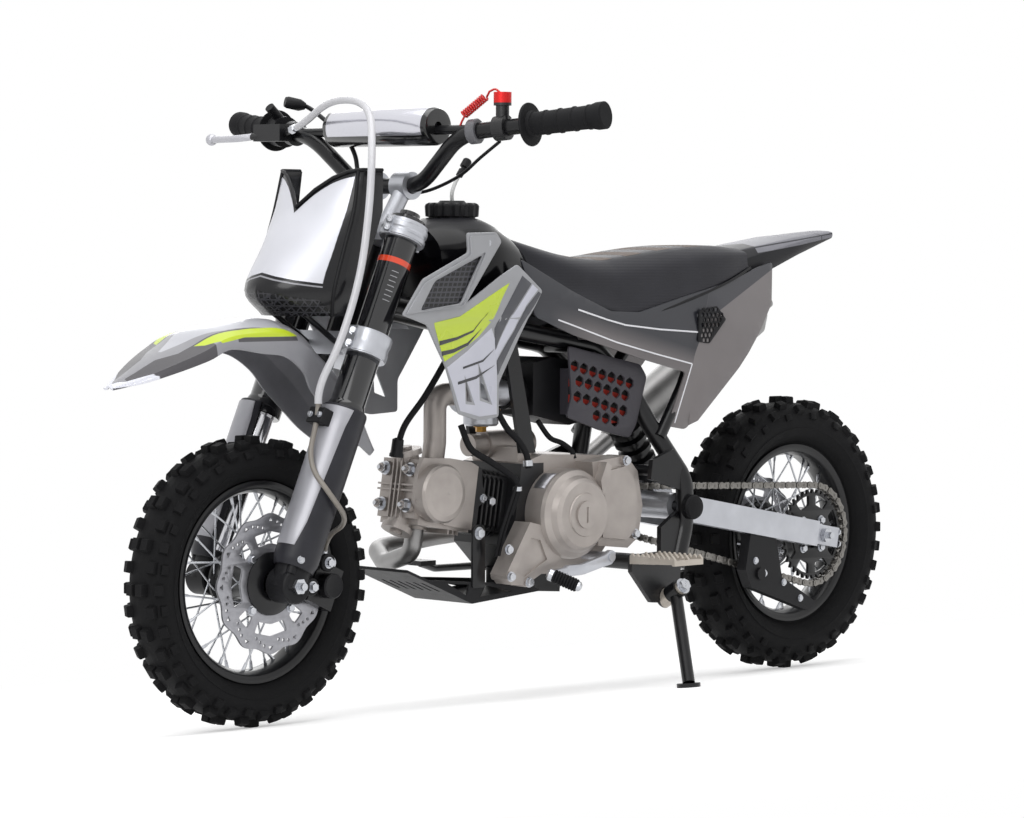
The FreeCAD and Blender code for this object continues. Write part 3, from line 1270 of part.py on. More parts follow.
def fuel_cap():
    """A screw cap with grip grooves round its rim, on its neck."""
    body = Part.makeCylinder(38, 20, TANK_CAP + V(0, 0, 4))
    grooves = []
    for i in range(CAP_GROOVES):
        a = 2 * math.pi * i / CAP_GROOVES
        grooves.append(Part.makeCylinder(4, 24, TANK_CAP + V(39 * math.cos(a), 39 * math.sin(a), 2)))
    neck = Part.makeCylinder(30, 20, TANK_CAP + V(0, 0, -10))
    return fuse(body.cut(grooves), neck)


PARTS["fuel_cap"] = fuel_cap()
PARTS["fuel_tank"] = fuel_tank().cut([PARTS["fuel_cap"], PARTS["frame"]])

SEAT_ROWS = (
    # x, top, bottom, half width of the top, the sides and the bottom
    (108, 662, 640, 30, 40, 40), (60, 648, 600, 44, 62, 66), (-10, 633, 566, 50, 76, 84),
    (-80, 627, 544, 52, 80, 90), (-120, 630, 540, 54, 82, 92), (-234, 643, 566, 56, 84, 90),
    (-320, 647, 590, 52, 80, 84), (-385, 643, 612, 44, 66, 70),
)


def seat():
    """The seat's foam as one body from the tank to the tail."""
    return loft([ring_section(*row) for row in SEAT_ROWS])


PARTS["seat"] = seat().cut([PARTS["fuel_tank"], PARTS["frame"]])


SHROUD_Y = 100.0
SHROUD_FOLD_X = 165.0
SHROUD_FLARE = 0.13


def shroud():
    """The left tank shroud: a framed window over a long wing, its front half flared clear of the fork."""
    outline = [
        (380, 551), (337, 599), (240, 635), (243, 662), (178, 663), (166, 650), (243, 566), (135, 619),
        (85, 582), (171, 454), (171, 408), (217, 405), (260, 415), (287, 482), (325, 537),
    ]
    corners = [V(x, SHROUD_Y + SHROUD_FLARE * (x - SHROUD_FOLD_X), z) for x, z in [*outline, outline[0]]]
    flared = Part.Face(Part.makePolygon(corners)).extrude(V(0, PANEL, 0))
    ahead = Part.makeBox(300, 200, 400, V(SHROUD_FOLD_X, 0, 350))
    flat = side_plate(outline, SHROUD_Y, SHROUD_Y + PANEL)
    openings = [
        [(342, 557), (312, 596), (208, 632), (255, 566)], [(244, 462), (242, 432), (229, 430)],
        [(214, 479), (211, 436), (191, 429)],
    ]
    cuts = [side_plate(points, SHROUD_Y - 20, SHROUD_Y + 60) for points in openings]
    high_boss = cross_rod(198, 641, 84 + SEAT_GAP, SHROUD_Y + 1, 7)
    low_boss = cross_rod(182, 533, 50 + STEEL_TUBE_RADIUS + SEAT_GAP, SHROUD_Y + 1, 7)
    return fuse(flared.common(ahead), flat.cut(ahead), high_boss, low_boss).cut(cuts)


PARTS["shrouds"] = Part.makeCompound([shroud(), mirror(shroud())])


def side_panel():
    """The left side panel from the shroud's tail to its lower tip behind the seat."""
    outline = [
        (120, 626), (94, 545), (18, 519), (-119, 484), (-217, 462), (-190, 384), (-228, 378), (-332, 466),
        (-422, 560), (-440, 610), (-400, 600), (-330, 572), (-220, 548), (-120, 520), (-60, 526), (20, 566),
    ]
    plate = side_plate(outline, 96, 96 + PANEL)
    rear_boss = cross_rod(-282, 516, 74, 97, 7)
    front_boss = cross_rod(-30, 517, 50 + STEEL_TUBE_RADIUS + SEAT_GAP, 97, 6)
    return fuse(plate, rear_boss, front_boss)


PARTS["side_panels"] = Part.makeCompound([side_panel(), mirror(side_panel())])


TAIL_ROWS = (
    # x, top, bottom, half width of the top, the sides and the bottom
    (-390.6, 640, 590, 40, 60, 60), (-440, 648, 606, 44, 58, 56), (-520, 660, 632, 40, 52, 48),
    (-622, 670, 658, 22, 30, 28),
)


def tail():
    """The rear fender behind the seat."""
    return loft([ring_section(*row) for row in TAIL_ROWS])


PARTS["tail"] = tail()

# Stand the bike on its side stand, and move the origin under the middle of its box
lean = FreeCAD.Placement(V(0, 0, 0), FreeCAD.Rotation(V(1, 0, 0), -LEAN_DEG))
for name, shape in PARTS.items():
    shape.Placement = lean.multiply(shape.Placement)
box = FreeCAD.BoundBox()
for shape in PARTS.values():
    box.add(shape.optimalBoundingBox(True, False))
shift = V(-(box.XMin + box.XMax) / 2, -(box.YMin + box.YMax) / 2, -box.ZMin)
os.makedirs("parts", exist_ok=True)
for name, shape in PARTS.items():
    shape.translate(shift)
    shape.exportStep("parts/" + name + ".step")
print("nodes", len(PARTS), "shift", [round(c, 3) for c in shift])
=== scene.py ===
import json
import math
import random
from functools import reduce

import bmesh
import bpy
from mathutils import Matrix, Vector


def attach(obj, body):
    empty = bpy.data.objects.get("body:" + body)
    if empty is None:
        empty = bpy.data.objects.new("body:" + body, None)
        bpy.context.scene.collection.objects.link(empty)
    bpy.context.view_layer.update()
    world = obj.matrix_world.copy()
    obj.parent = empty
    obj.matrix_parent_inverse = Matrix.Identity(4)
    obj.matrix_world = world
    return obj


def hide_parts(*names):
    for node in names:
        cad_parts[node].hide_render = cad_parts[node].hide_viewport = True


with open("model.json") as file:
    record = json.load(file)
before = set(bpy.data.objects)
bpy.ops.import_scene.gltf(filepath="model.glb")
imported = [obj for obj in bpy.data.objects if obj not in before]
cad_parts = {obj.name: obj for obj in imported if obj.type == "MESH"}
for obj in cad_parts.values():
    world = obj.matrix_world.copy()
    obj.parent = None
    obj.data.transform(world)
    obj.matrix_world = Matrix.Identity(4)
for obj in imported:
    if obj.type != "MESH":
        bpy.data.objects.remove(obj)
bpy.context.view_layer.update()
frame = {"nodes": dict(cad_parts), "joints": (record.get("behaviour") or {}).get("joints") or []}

# The bike parks leaning left on its side stand. Every size below is in millimetres in the bike's own
# frame, as if it stood upright: X forward, Y to the rider's left, Z up from the tyres' contact line,
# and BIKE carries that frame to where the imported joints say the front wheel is.
joints = {joint["name"]: joint for joint in frame["joints"]}
FRONT_AXLE = Vector((540, 0, 195))
REAR_AXLE = Vector((-540, 0, 208))
forward = Vector((1, 0, 0))
across = Vector(joints["front_wheel_spin"]["axis"])
lean = Matrix((forward, across, forward.cross(across))).transposed()
hub_at = Vector(joints["front_wheel_spin"]["pos_m"])
BIKE = Matrix.Translation(hub_at) @ lean.to_4x4() @ Matrix.Scale(0.001, 4) @ Matrix.Translation(-FRONT_AXLE)

# The camera stands where the photographer's did: to the left and ahead, low, with a long lens. It
# keeps its place beside the upright bike, so it leans with the bike here.
PHOTO_WIDTH_PX = 1024
FOCAL_PX = 3837.8
AZIMUTH, ELEVATION, ROLL = 0.787, 0.044, 0.006
DISTANCE, PAN_RIGHT, PAN_UP = 5516.0, -27.3, 410.4
back = Vector((
    math.cos(ELEVATION) * math.cos(AZIMUTH), math.cos(ELEVATION) * math.sin(AZIMUTH), math.sin(ELEVATION),
))
level_right = Vector((0, 0, 1)).cross(back).normalized()
level_up = back.cross(level_right)
cam_right = math.cos(ROLL) * level_right + math.sin(ROLL) * level_up
cam_up = math.cos(ROLL) * level_up - math.sin(ROLL) * level_right
lens = bpy.data.cameras.new("camera")
lens.sensor_width = 36
lens.lens = FOCAL_PX * lens.sensor_width / PHOTO_WIDTH_PX
lens.clip_end = 100
camera = bpy.data.objects.new("camera", lens)
turn = lean @ Matrix((cam_right, cam_up, back)).transposed()
stand_at = BIKE @ (back * DISTANCE + cam_right * PAN_RIGHT + cam_up * PAN_UP)
camera.matrix_world = Matrix.Translation(stand_at) @ turn.to_4x4()
bpy.context.scene.collection.objects.link(camera)
bpy.context.scene.camera = camera

# The floor and the light: a white studio sweep, a broad soft lamp overhead, one by the camera and a
# weak one behind. What looks at the backdrop sees plain white, while less of it lights the bike.
FLOOR_GLOW = 0.42
AMBIENT = 0.55
LAMPS = (
    # Name, place in metres, size, watts
    ("overhead", (0.3, 0.4, 2.6), 2.6, 34.0),
    ("by_camera", (2.6, 1.2, 1.6), 1.6, 26.0),
    ("behind", (-1.8, -2.2, 1.8), 1.8, 16.0),
)
FADE_AT, FADE_OVER = 1.5, 1.4


class Socket:
    """One output in a material's node tree. Arithmetic on it adds Math nodes."""

    def __init__(self, tree, output):
        self.tree = tree
        self.output = output

    def put(self, kind, inputs=None, out=0, **settings):
        """Adds any other node: its settings first, then its inputs by name or number."""
        node = self.tree.nodes.new(kind)
        for name, value in settings.items():
            setattr(node, name, value)
        for name, value in (inputs or {}).items():
            if isinstance(value, Socket):
                self.tree.links.new(value.output, node.inputs[name])
            else:
                node.inputs[name].default_value = value
        return Socket(self.tree, node.outputs[out])

    def math(self, operation, *terms, clamp=False):
        return self.put("ShaderNodeMath", dict(enumerate(terms)), operation=operation, use_clamp=clamp)

    def __add__(self, other):
        return self.math("ADD", self, other)

    def __sub__(self, other):
        return self.math("SUBTRACT", self, other)

    def __mul__(self, other):
        return self.math("MULTIPLY", self, other)

    def __rsub__(self, other):
        return self.math("SUBTRACT", other, self)

    __radd__ = __add__
    __rmul__ = __mul__

    def most(self, other):
        """The greater of this value and another."""
        return self.math("MAXIMUM", self, other)

    def part(self, axis):
        """One coordinate of a vector."""
        return self.put("ShaderNodeSeparateXYZ", {0: self}, out="XYZ".index(axis))

    def aside(self):
        """How far a vector lies from the bike's middle plane."""
        return self.math("ABSOLUTE", self.part("Y"))

    def along(self, way):
        """How far a vector reaches along a direction."""
        return self.put("ShaderNodeVectorMath", {0: self, 1: way}, out=1, operation="DOT_PRODUCT")

    def repeating(self, pitch):
        """The share of the way through each step of a pitch, from 0 to 1 again and again."""
        return self.math("FRACT", self * (1 / pitch))

    def noise(self, scale, detail=3.0):
        """Noise from 0 to 1 with features of about 1/scale millimetres."""
        return self.put("ShaderNodeTexNoise", {"Vector": self, "Scale": scale, "Detail": detail})

    def beyond(self, edge, soft=0.3):
        """1 where this value is over the edge, 0 below it, over a soft step."""
        return self.math("MULTIPLY_ADD", self - edge, 1 / soft, 0.5, clamp=True)

    def between(self, low, high, soft=0.3):
        """1 inside a stretch and 0 outside it."""
        return self.beyond(low, soft) * (1 - self.beyond(high, soft))

    def tint(self, under, over):
        """Colour over where this factor is 1, under where it is 0."""
        colours = {0: self, 6: rgba(under), 7: rgba(over)}
        return self.put("ShaderNodeMix", colours, out=2, data_type="RGBA", clamp_factor=True)

    def relief(self, height):
        """A normal from this value used as a height in millimetres."""
        return self.put("ShaderNodeBump", {"Height": self, "Distance": height / 1000})


def rgba(colour):
    """A colour for a node's socket: a link as it is, or 0-255 screen values made linear."""
    if isinstance(colour, Socket):
        return colour
    return (*[((c / 255 + 0.055) / 1.055) ** 2.4 if c > 10 else c / 3295 for c in colour], 1.0)


def seen_by_camera(tree):
    """1 for rays from the camera, also by way of a mirror or through glass, and 0 for the rest."""
    path = tree.nodes.new("ShaderNodeLightPath")
    kinds = ("Is Camera Ray", "Is Glossy Ray", "Is Transmission Ray")
    return reduce(Socket.most, [Socket(tree, path.outputs[kind]) for kind in kinds])


world = bpy.data.worlds.new("studio")
world.use_nodes = True
world.node_tree.nodes.clear()
seen = seen_by_camera(world.node_tree)
sky = seen.put("ShaderNodeBackground", {"Color": (1, 1, 1, 1), "Strength": seen * (1 - AMBIENT) + AMBIENT})
world.node_tree.links.new(sky.output, world.node_tree.nodes.new("ShaderNodeOutputWorld").inputs[0])
bpy.context.scene.world = world
for name, place, size, watts in LAMPS:
    lamp = bpy.data.lights.new(name, "AREA")
    lamp.shape, lamp.size, lamp.energy = "DISK", size, watts
    lamp_at = bpy.data.objects.new(name, lamp)
    lamp_at.location = place
    lamp_at.rotation_euler = (Vector((0, 0, 0.4)) - Vector(place)).to_track_quat("-Z", "Y").to_euler()
    bpy.context.scene.collection.objects.link(lamp_at)

sweep = bpy.data.meshes.new("floor")
FLOOR_HALF = 40.0
sweep.from_pydata([(x, y, 0) for x, y in ((-1, -1), (1, -1), (1, 1), (-1, 1))], [], [(0, 1, 2, 3)])
sweep.transform(Matrix.Scale(FLOOR_HALF, 4))
floor = bpy.data.objects.new("floor", sweep)
bpy.context.scene.collection.objects.link(floor)
white = bpy.data.materials.new("floor_white")
white.use_nodes = True
white.node_tree.nodes.clear()
tree = white.node_tree
seen = seen_by_camera(tree)
spot = Socket(tree, tree.nodes.new("ShaderNodeTexCoord").outputs["Object"])
away = spot.put("ShaderNodeVectorMath", {0: spot}, out=1, operation="LENGTH").beyond(FADE_AT, FADE_OVER)
matte = seen.put("ShaderNodeBsdfDiffuse", {"Color": (0.86, 0.86, 0.86, 1)})
glow = seen.put("ShaderNodeEmission", {"Strength": seen * FLOOR_GLOW})
lit = seen.put("ShaderNodeAddShader", {0: matte, 1: glow})
pure = seen.put("ShaderNodeEmission", {"Strength": 1.0})
both = seen.put("ShaderNodeMixShader", {0: away * seen, 1: lit, 2: pure})
tree.links.new(both.output, tree.nodes.new("ShaderNodeOutputMaterial").inputs[0])
sweep.materials.append(white)
bpy.context.scene.view_settings.view_transform = "Standard"

# The finishes of the nodes that show as they were built, shared with the pieces below: enamel, moulded
# plastic, zinc plate, silver paint and cast metal, and five that change colour across one node.
# The barrel's tilt, and where along it, from the bike's middle, the cast head begins
BARREL_TILT_DEG, HEAD_JOINT_AT = 9.0, 201.5
# The two tones between which the finishes in two colours drift
BARE_CAST = (150, 143, 139), (184, 177, 172)
BARREL_BLACK = (16, 16, 18), (26, 26, 29)
MOULDED_BLACK = (14, 14, 16), (25, 25, 28)


def material(name, finish):
    """A material whose finish(at) returns the Principled BSDF's inputs for coordinates in millimetres."""
    made = bpy.data.materials.new(name)
    made.use_nodes = True
    tree = made.node_tree
    tree.nodes.clear()
    origin = BIKE.inverted() @ Vector((0, 0, 0))
    at = Socket(tree, tree.nodes.new("ShaderNodeTexCoord").outputs["Object"])
    turned_back = (lean.inverted().to_euler().x, 0, 0)
    mapped = {"Vector": at, "Scale": (1000, 1000, 1000), "Rotation": turned_back, "Location": origin}
    at = at.put("ShaderNodeMapping", mapped)
    inputs = finish(at)
    inputs["Base Color"] = rgba(inputs["Base Color"])
    shader = at.put("ShaderNodeBsdfPrincipled", inputs)
    tree.links.new(shader.output, tree.nodes.new("ShaderNodeOutputMaterial").inputs[0])
    return made


def plain(name, low, high, scale=0.05, rough=0.4, spread=0.12, metallic=0.0, grain=0.0, grain_scale=1.5,
          coat=0.0, shine=0.5):
    """A material that drifts between two colours, with a fine grain of some height in millimetres."""
    def finish(at):
        drift = at.noise(scale)
        inputs = {
            "Base Color": drift.tint(low, high), "Roughness": drift * spread + rough, "Metallic": metallic,
            "Specular IOR Level": shine,
        }
        if grain:
            inputs["Normal"] = at.noise(grain_scale, 2.0).relief(grain)
        if coat:
            inputs["Coat Weight"] = coat
            inputs["Coat Roughness"] = 0.08
        return inputs
    return material(name, finish)


BLACK = plain("black_enamel", (11, 11, 13), (19, 19, 22), rough=0.24, coat=0.15, grain=0.03, shine=0.3)
BLACK_PLASTIC = plain("black_plastic", (14, 14, 16), (25, 25, 28), rough=0.42, grain=0.08, shine=0.22)
ZINC = plain("zinc_plate", (168, 170, 176), (208, 210, 214), 0.3, 0.22, 0.14, metallic=1.0, grain=0.03)
CAST = plain("cast_aluminium", (150, 143, 139), (182, 175, 170), 0.03, 0.38, 0.12, metallic=0.55, grain=0.16,
             grain_scale=0.9)
SILVER = plain("silver_paint", (172, 174, 180), (204, 206, 212), 0.03, 0.3, 0.12, metallic=0.7, grain=0.05)
BRUSHED = plain("bare_aluminium", (132, 131, 131), (170, 169, 168), 0.04, 0.36, 0.14, metallic=0.85,
                grain=0.06)


def split_finish(name, split, under, over):
    """A cast finish whose colour changes where split(at) passes from 0 to 1."""
    def finish(at):
        share = split(at)
        drift = at.noise(0.03)
        return {
            "Base Color": share.tint(drift.tint(*under), drift.tint(*over)),
            "Roughness": drift * 0.12 + 0.36,
            "Metallic": share * 0.55,
            "Normal": at.noise(0.9, 2.0).relief(0.14),
        }
    return material(name, finish)


def past_barrel(at):
    """1 ahead of the joint between the black barrel and the cast head."""
    tilt = math.radians(BARREL_TILT_DEG)
    return at.along((math.cos(tilt), 0, math.sin(tilt))).beyond(HEAD_JOINT_AT, 0.5)


def past_bracket(at):
    """1 out on the pegs, 0 on the black bar and brackets between them."""
    return at.aside().beyond(125, 0.5)


ENGINE_TOP = split_finish("barrel_and_head", past_barrel, BARREL_BLACK, BARE_CAST)
PEG_METAL = split_finish("pegs_and_bar", past_bracket, BARREL_BLACK, ((172, 164, 154), (200, 192, 182)))


def off_shaded_core(at):
    """0 on the core's front between its side covers, where the barrel's black is painted as shade among the
    dark brackets, 1 elsewhere.
    """
    low = 1 - at.part("Z").beyond(338, 0.5)
    return 1 - at.part("X").beyond(38, 0.5) * at.part("Y").between(-58.5, 60.8) * low


# The core's front takes the barrel's black as painted shade between head and drum.
CASE_METAL = split_finish("shaded_core_and_covers", off_shaded_core, BARREL_BLACK, BARE_CAST)


def past_perch(at):
    """1 out on the bare lever, 0 on the black master cylinder."""
    return 1 - at.part("Y").beyond(-250, 0.5)


def under_cap(at):
    """1 on the switch's red cap, 0 on its black body."""
    return at.part("Z").beyond(836, 0.5)


LEVER_SET = split_finish("master_and_lever", past_perch, MOULDED_BLACK, ((176, 176, 182), (206, 206, 212)))
STOP_SWITCH = split_finish("switch_and_cap", under_cap, MOULDED_BLACK, ((200, 26, 28), (222, 38, 36)))

# The nodes that show as they were built, each with its finish and how far its sharp edges are eased.
# Any other is black and keeps its edges.
AS_BUILT = {
    "frame": (BLACK, 0.8), "pivot_bolt": (BLACK, 0.8), "side_stand": (BLACK, 0.8),
    "caliper_front": (BLACK, 1.2), "skid_plate": (BLACK_PLASTIC, 0.5), "airbox": (BLACK_PLASTIC, 1.5),
    "chain_guide": (BLACK_PLASTIC, 1.0), "throttle_housing": (BLACK_PLASTIC, 0.8), "swingarm": (SILVER, 1.6),
    "lower_clamp": (SILVER, 1.2), "upper_clamp": (SILVER, 1.0), "carburettor": (SILVER, 0.8),
    "axle_front": (ZINC, 0.4), "axle_rear": (ZINC, 0.4), "engine_case": (CASE_METAL, 1.4),
    "engine_top": (ENGINE_TOP, 1.0), "intake": (CAST, 0.0), "exhaust_header": (BRUSHED, 0.0),
    "silencer": (BRUSHED, 0.0), "footpegs": (PEG_METAL, 0.5), "brake_master": (LEVER_SET, 0.8),
    "kill_switch": (STOP_SWITCH, 0.6),
}
for name, node in frame["nodes"].items():
    coat, ease = AS_BUILT.get(name, (BLACK, 0.0))
    node.data.materials.clear()
    node.data.materials.append(coat)
    if ease:
        edge = node.modifiers.new("edges", "BEVEL")
        edge.width, edge.segments, edge.limit_method = ease / 1000, 2, "ANGLE"
        edge.angle_limit = math.radians(40)

# Tyres: knobbly off-road tyres of black rubber, a rounded carcass moulded with rows of square blocks
# that are lighter where the dust sits, with two raised rings round each sidewall.
FRONT_RADIUS = 195.0
REAR_RADIUS = 208.0
LUG_PITCHES = 20
BEAD_RADIUS = 127.0
TREAD_DEPTH = 9.0
WHEELS = {
    # End: axle, radius, half the tyre's width, half the rim's width
    "front": (FRONT_AXLE, FRONT_RADIUS, 36.0, 22.0),
    "rear": (REAR_AXLE, REAR_RADIUS, 42.0, 25.0),
}
# The carcass: share of the height from bead to crown, share of the half width
CARCASS = (
    (0.3, 0.82), (0.44, 0.95), (0.47, 0.975), (0.49, 0.95), (0.64, 0.96), (0.8, 0.88), (0.91, 0.7),
    (0.975, 0.42), (1.0, 0.0),
)
# Rows of blocks: share of a pitch, share of the half width, tilt out in degrees, width across,
# length round, height
LUG_ROWS = (
    (0.0, 0.25, 3, 14.0, 16.5, TREAD_DEPTH),
    (0.5, 0.60, 22, 13.0, 16.0, 8.6),
    (0.0, 0.83, 50, 12.5, 15.0, 7.0),
    (0.5, 0.93, 72, 10.0, 13.0, 3.4),
)
BLOCK_RINGS = ((-5.0, 1.06), (0.86, 0.94), (1.0, 0.84))


def eased(points, steps):
    """A smooth run of points through given ones, by Catmull-Rom."""
    points = [Vector(p) for p in points]
    run = [2 * points[0] - points[1], *points, 2 * points[-1] - points[-2]]
    out = []
    for a, b, c, d in zip(run, run[1:], run[2:], run[3:]):
        for i in range(steps):
            t = i / steps
            curve = (3 * b - a - 3 * c + d) * t ** 3 + (2 * a - 5 * b + 4 * c - d) * t ** 2 + (c - a) * t
            out.append(b + curve / 2)
    return out + [points[-1]]


def carcass(radius, half, rim_half):
    """Half the tyre's cross cut under its blocks, as (radius, y) from the bead out to the crown."""
    tall = radius - TREAD_DEPTH - BEAD_RADIUS
    bead = [(0.0, rim_half - 5), (0.15, rim_half - 3.2), (0.19, rim_half + 1)]
    cut = bead + [(up, half * out) for up, out in CARCASS]
    run = [(BEAD_RADIUS + 0.5 + tall * up, y, 0) for up, y in cut]
    return [(spot.x, spot.y) for spot in eased(run, 4)]


def from_bmesh(built, outward=None):
    """A mesh from a bmesh, its faces turned outward, or toward a direction if it is an open sheet."""
    bmesh.ops.recalc_face_normals(built, faces=built.faces)
    if outward and sum((face.normal * face.calc_area() for face in built.faces), Vector()).dot(outward) < 0:
        bmesh.ops.reverse_faces(built, faces=built.faces)
    mesh = bpy.data.meshes.new("mesh")
    built.to_mesh(mesh)
    built.free()
    return mesh


def skin(rows, ring=False, caps=False, outward=None):
    """A sheet through rows of as many points each. A ring's rows close on themselves."""
    built = bmesh.new()
    grid = [[built.verts.new(p) for p in row] for row in rows]
    count = len(rows[0])
    for row, following in zip(grid, grid[1:]):
        for j in range(count if ring else count - 1):
            k = (j + 1) % count
            built.faces.new((row[j], following[j], following[k], row[k]))
    if caps:
        built.faces.new(grid[0])
        built.faces.new(list(reversed(grid[-1])))
    return from_bmesh(built, outward)


def tread_block(foot, tilt, wide, long, tall, angle):
    """One tapered block standing on the carcass at an angle round the wheel."""
    up = Vector((math.cos(tilt), math.sin(tilt), 0))
    over = Vector((-math.sin(tilt), math.cos(tilt), 0))
    place = Matrix.Rotation(-angle, 3, "Y")
    rows = []
    for rise, spread in BLOCK_RINGS:
        centre = foot + up * (rise if rise < 0 else rise * tall)
        reach, round_it = over * (wide / 2 * spread), Vector((0, 0, long / 2 * spread))
        square = ((-1, -1), (1, -1), (1, 1), (-1, 1))
        rows.append([place @ (centre + reach * u + round_it * v) for u, v in square])
    return skin(rows, ring=True, caps=True)


def square_to(way):
    """Two directions square to a way and to each other."""
    way = Vector(way).normalized()
    side = way.cross(Vector((0, 0, 1)) if abs(way.z) < 0.9 else Vector((1, 0, 0))).normalized()
    return side, way.cross(side)


def lathe(profile, at, way=(0, 1, 0), steps=48, closed=False):
    """A body turned about a line, from (radius, distance along it) points."""
    side, over = square_to(way)
    way = Vector(way).normalized()
    rows = []
    for i in range(steps):
        a = 2 * math.pi * (i + 0.5) / steps
        out = side * math.cos(a) + over * math.sin(a)
        rows.append([Vector(at) + out * r + way * along for r, along in profile])
    built = bmesh.new()
    built.from_mesh(skin(rows + rows[:1], ring=closed))
    bmesh.ops.remove_doubles(built, verts=built.verts, dist=0.001)
    return from_bmesh(built)


def joined(*meshes):
    """Several meshes as one, their material numbers kept."""
    built = bmesh.new()
    for mesh in meshes:
        built.from_mesh(mesh)
    mesh = bpy.data.meshes.new("mesh")
    built.to_mesh(mesh)
    built.free()
    return mesh


def tyre(radius, half, rim_half):
    """The carcass and its blocks as one mesh round the origin."""
    side = carcass(radius, half, rim_half)
    meshes = [lathe(side + [(r, -y) for r, y in reversed(side[:-1])], (0, 0, 0), steps=120, closed=True)]
    outer = [spot for spot in side if spot[0] > BEAD_RADIUS + 30]
    jitter = random.Random(7)
    for pitch in range(LUG_PITCHES):
        for share, out, tilt, wide, long, tall in LUG_ROWS:
            y = out * half
            r = max(spot[0] for spot in outer if spot[1] >= y - 0.8)
            height = radius - r if tilt < 10 else tall
            for hand in (1, -1):
                angle = 2 * math.pi * (pitch + share) / LUG_PITCHES + jitter.uniform(-0.006, 0.006)
                foot, tip_out = Vector((r, y * hand, 0)), math.radians(tilt) * hand
                meshes.append(tread_block(foot, tip_out, wide, long, height, angle))
    return joined(*meshes)


def tyre_rubber(at):
    """Black rubber, paler and rougher where it is dusty and worn."""
    worn = at.noise(0.05, 4.0)
    dust = at.noise(0.9, 2.0).beyond(0.55, 0.3) * 0.3 + worn * 0.4
    return {
        "Base Color": dust.tint((9, 9, 10), (28, 28, 30)),
        "Roughness": worn * 0.2 + 0.6,
        "Normal": at.noise(1.6, 3.0).relief(0.3),
        "Specular IOR Level": 0.15,
    }


def moved(mesh, matrix):
    """A copy of a mesh carried by a matrix."""
    copy = mesh.copy()
    copy.transform(matrix)
    if matrix.determinant() < 0:
        copy.flip_normals()
    return copy


def piece(name, mesh, body, finish, replaces=(), smooth=None, bevel=0.0, thick=0.0):
    """One finished piece from a mesh in the bike's frame: placed, coloured and fixed to its body."""
    mesh.transform(BIKE)
    mesh.materials.clear()
    for coat in finish if isinstance(finish, (list, tuple)) else [finish]:
        mesh.materials.append(coat)
    made = bpy.data.objects.new(name, mesh)
    bpy.context.scene.collection.objects.link(made)
    if thick:
        wall = made.modifiers.new("wall", "SOLIDIFY")
        wall.thickness, wall.offset = thick / 1000, -1
        wall.material_offset = len(mesh.materials) - 1
    if bevel:
        edge = made.modifiers.new("edges", "BEVEL")
        edge.width, edge.segments, edge.limit_method = bevel / 1000, 2, "ANGLE"
        edge.angle_limit = math.radians(35)
    if smooth is not None:
        mesh.shade_smooth()
        if smooth < 180:
            mesh.set_sharp_from_angle(angle=math.radians(smooth))
    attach(made, body)
    if replaces:
        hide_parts(*replaces)
    return made


TYRE_RUBBER = material("tyre_rubber", tyre_rubber)
for end, (axle, radius, half, rim_half) in WHEELS.items():
    mesh = moved(tyre(radius, half, rim_half), Matrix.Translation(axle))
    piece("knobbly_tyre_" + end, mesh, end + "_wheel", TYRE_RUBBER, ["tyre_" + end], smooth=38)

# Wheels: a black drop-centre rim laced with 36 zinc-plated spokes, each with its nipple in the rim,
# to a black hub whose flanges hold the spokes' hooked heads.
SPOKES = 36
SPOKE_LEAD = math.radians(52)
FLANGE_RADIUS = 31.0
RIM_INSIDE = 121.0
HUB = [
    (6.3, -38), (14, -38), (20, -40), (34, -38.5), (36.5, -37), (36.5, -33), (33, -31), (27, -27), (24, -18),
    (24, 18), (27, 27), (33, 31), (36.5, 33), (36.5, 37), (34, 38.5), (20, 40), (14, 38), (6.3, 38),
]


def rim(rim_half):
    """The rim's drop-centre section turned round the axle."""
    lip, seat, well = BEAD_RADIUS + 9, BEAD_RADIUS, BEAD_RADIUS - 8
    half = [
        (well + 3, 0), (well + 3, rim_half * 0.4), (seat, rim_half * 0.66), (seat + 1, rim_half - 3.4),
        (lip - 1, rim_half - 2.6), (lip, rim_half - 1.5), (lip - 0.6, rim_half), (lip - 3, rim_half + 0.6),
        (seat - 1, rim_half - 0.8), (seat - 3, rim_half - 3), (well + 1, rim_half * 0.5),
        (well, rim_half * 0.36), (well, 0),
    ]
    return lathe(half + [(r, -y) for r, y in reversed(half[1:-1])], (0, 0, 0), steps=108, closed=True)


def tube(path, radius, sides=12, radii=None):
    """A round bar along a run of points, with a radius for each point if given."""
    points = [Vector(p) for p in path]
    spans = zip(points[:1] + points, points[1:] + points[-1:])
    ways = [(after - before).normalized() for before, after in spans]
    side = square_to(ways[0])[0]
    rows = []
    for i, (point, way) in enumerate(zip(points, ways)):
        if i:
            side = ways[i - 1].rotation_difference(way) @ side
        over, r = way.cross(side).normalized(), radii[i] if radii else radius
        angles = [2 * math.pi * k / sides for k in range(sides)]
        rows.append([point + side * (r * math.cos(a)) + over * (r * math.sin(a)) for a in angles])
    return skin(rows, ring=True, caps=True)


def spokes():
    """All spokes with their nipples and heads."""
    meshes = []
    for i in range(SPOKES):
        side, lead = (1 if i % 2 else -1), (1 if i % 4 < 2 else -1)
        at_rim = 2 * math.pi * (i + 0.5) / SPOKES
        at_hub = at_rim + lead * SPOKE_LEAD
        y_hub = side * (37 if lead > 0 else 32.5)
        root = Vector((FLANGE_RADIUS * math.cos(at_hub), y_hub, FLANGE_RADIUS * math.sin(at_hub)))
        tip = Vector((RIM_INSIDE * math.cos(at_rim), side * 3, RIM_INSIDE * math.sin(at_rim)))
        way = (tip - root).normalized()
        head = root + Vector((0, side * (2.4 if lead > 0 else -2.4), 0))
        meshes.append(tube([root, tip], 1.35, 8))
        meshes.append(tube([tip - way * 13, tip - way * 3, tip - way], 2.5, 6, radii=[2.1, 2.6, 2.6]))
        meshes.append(tube([head, root, root + way * 2.5], 1.9, 8, radii=[2.6, 1.6, 1.4]))
    return joined(*meshes)


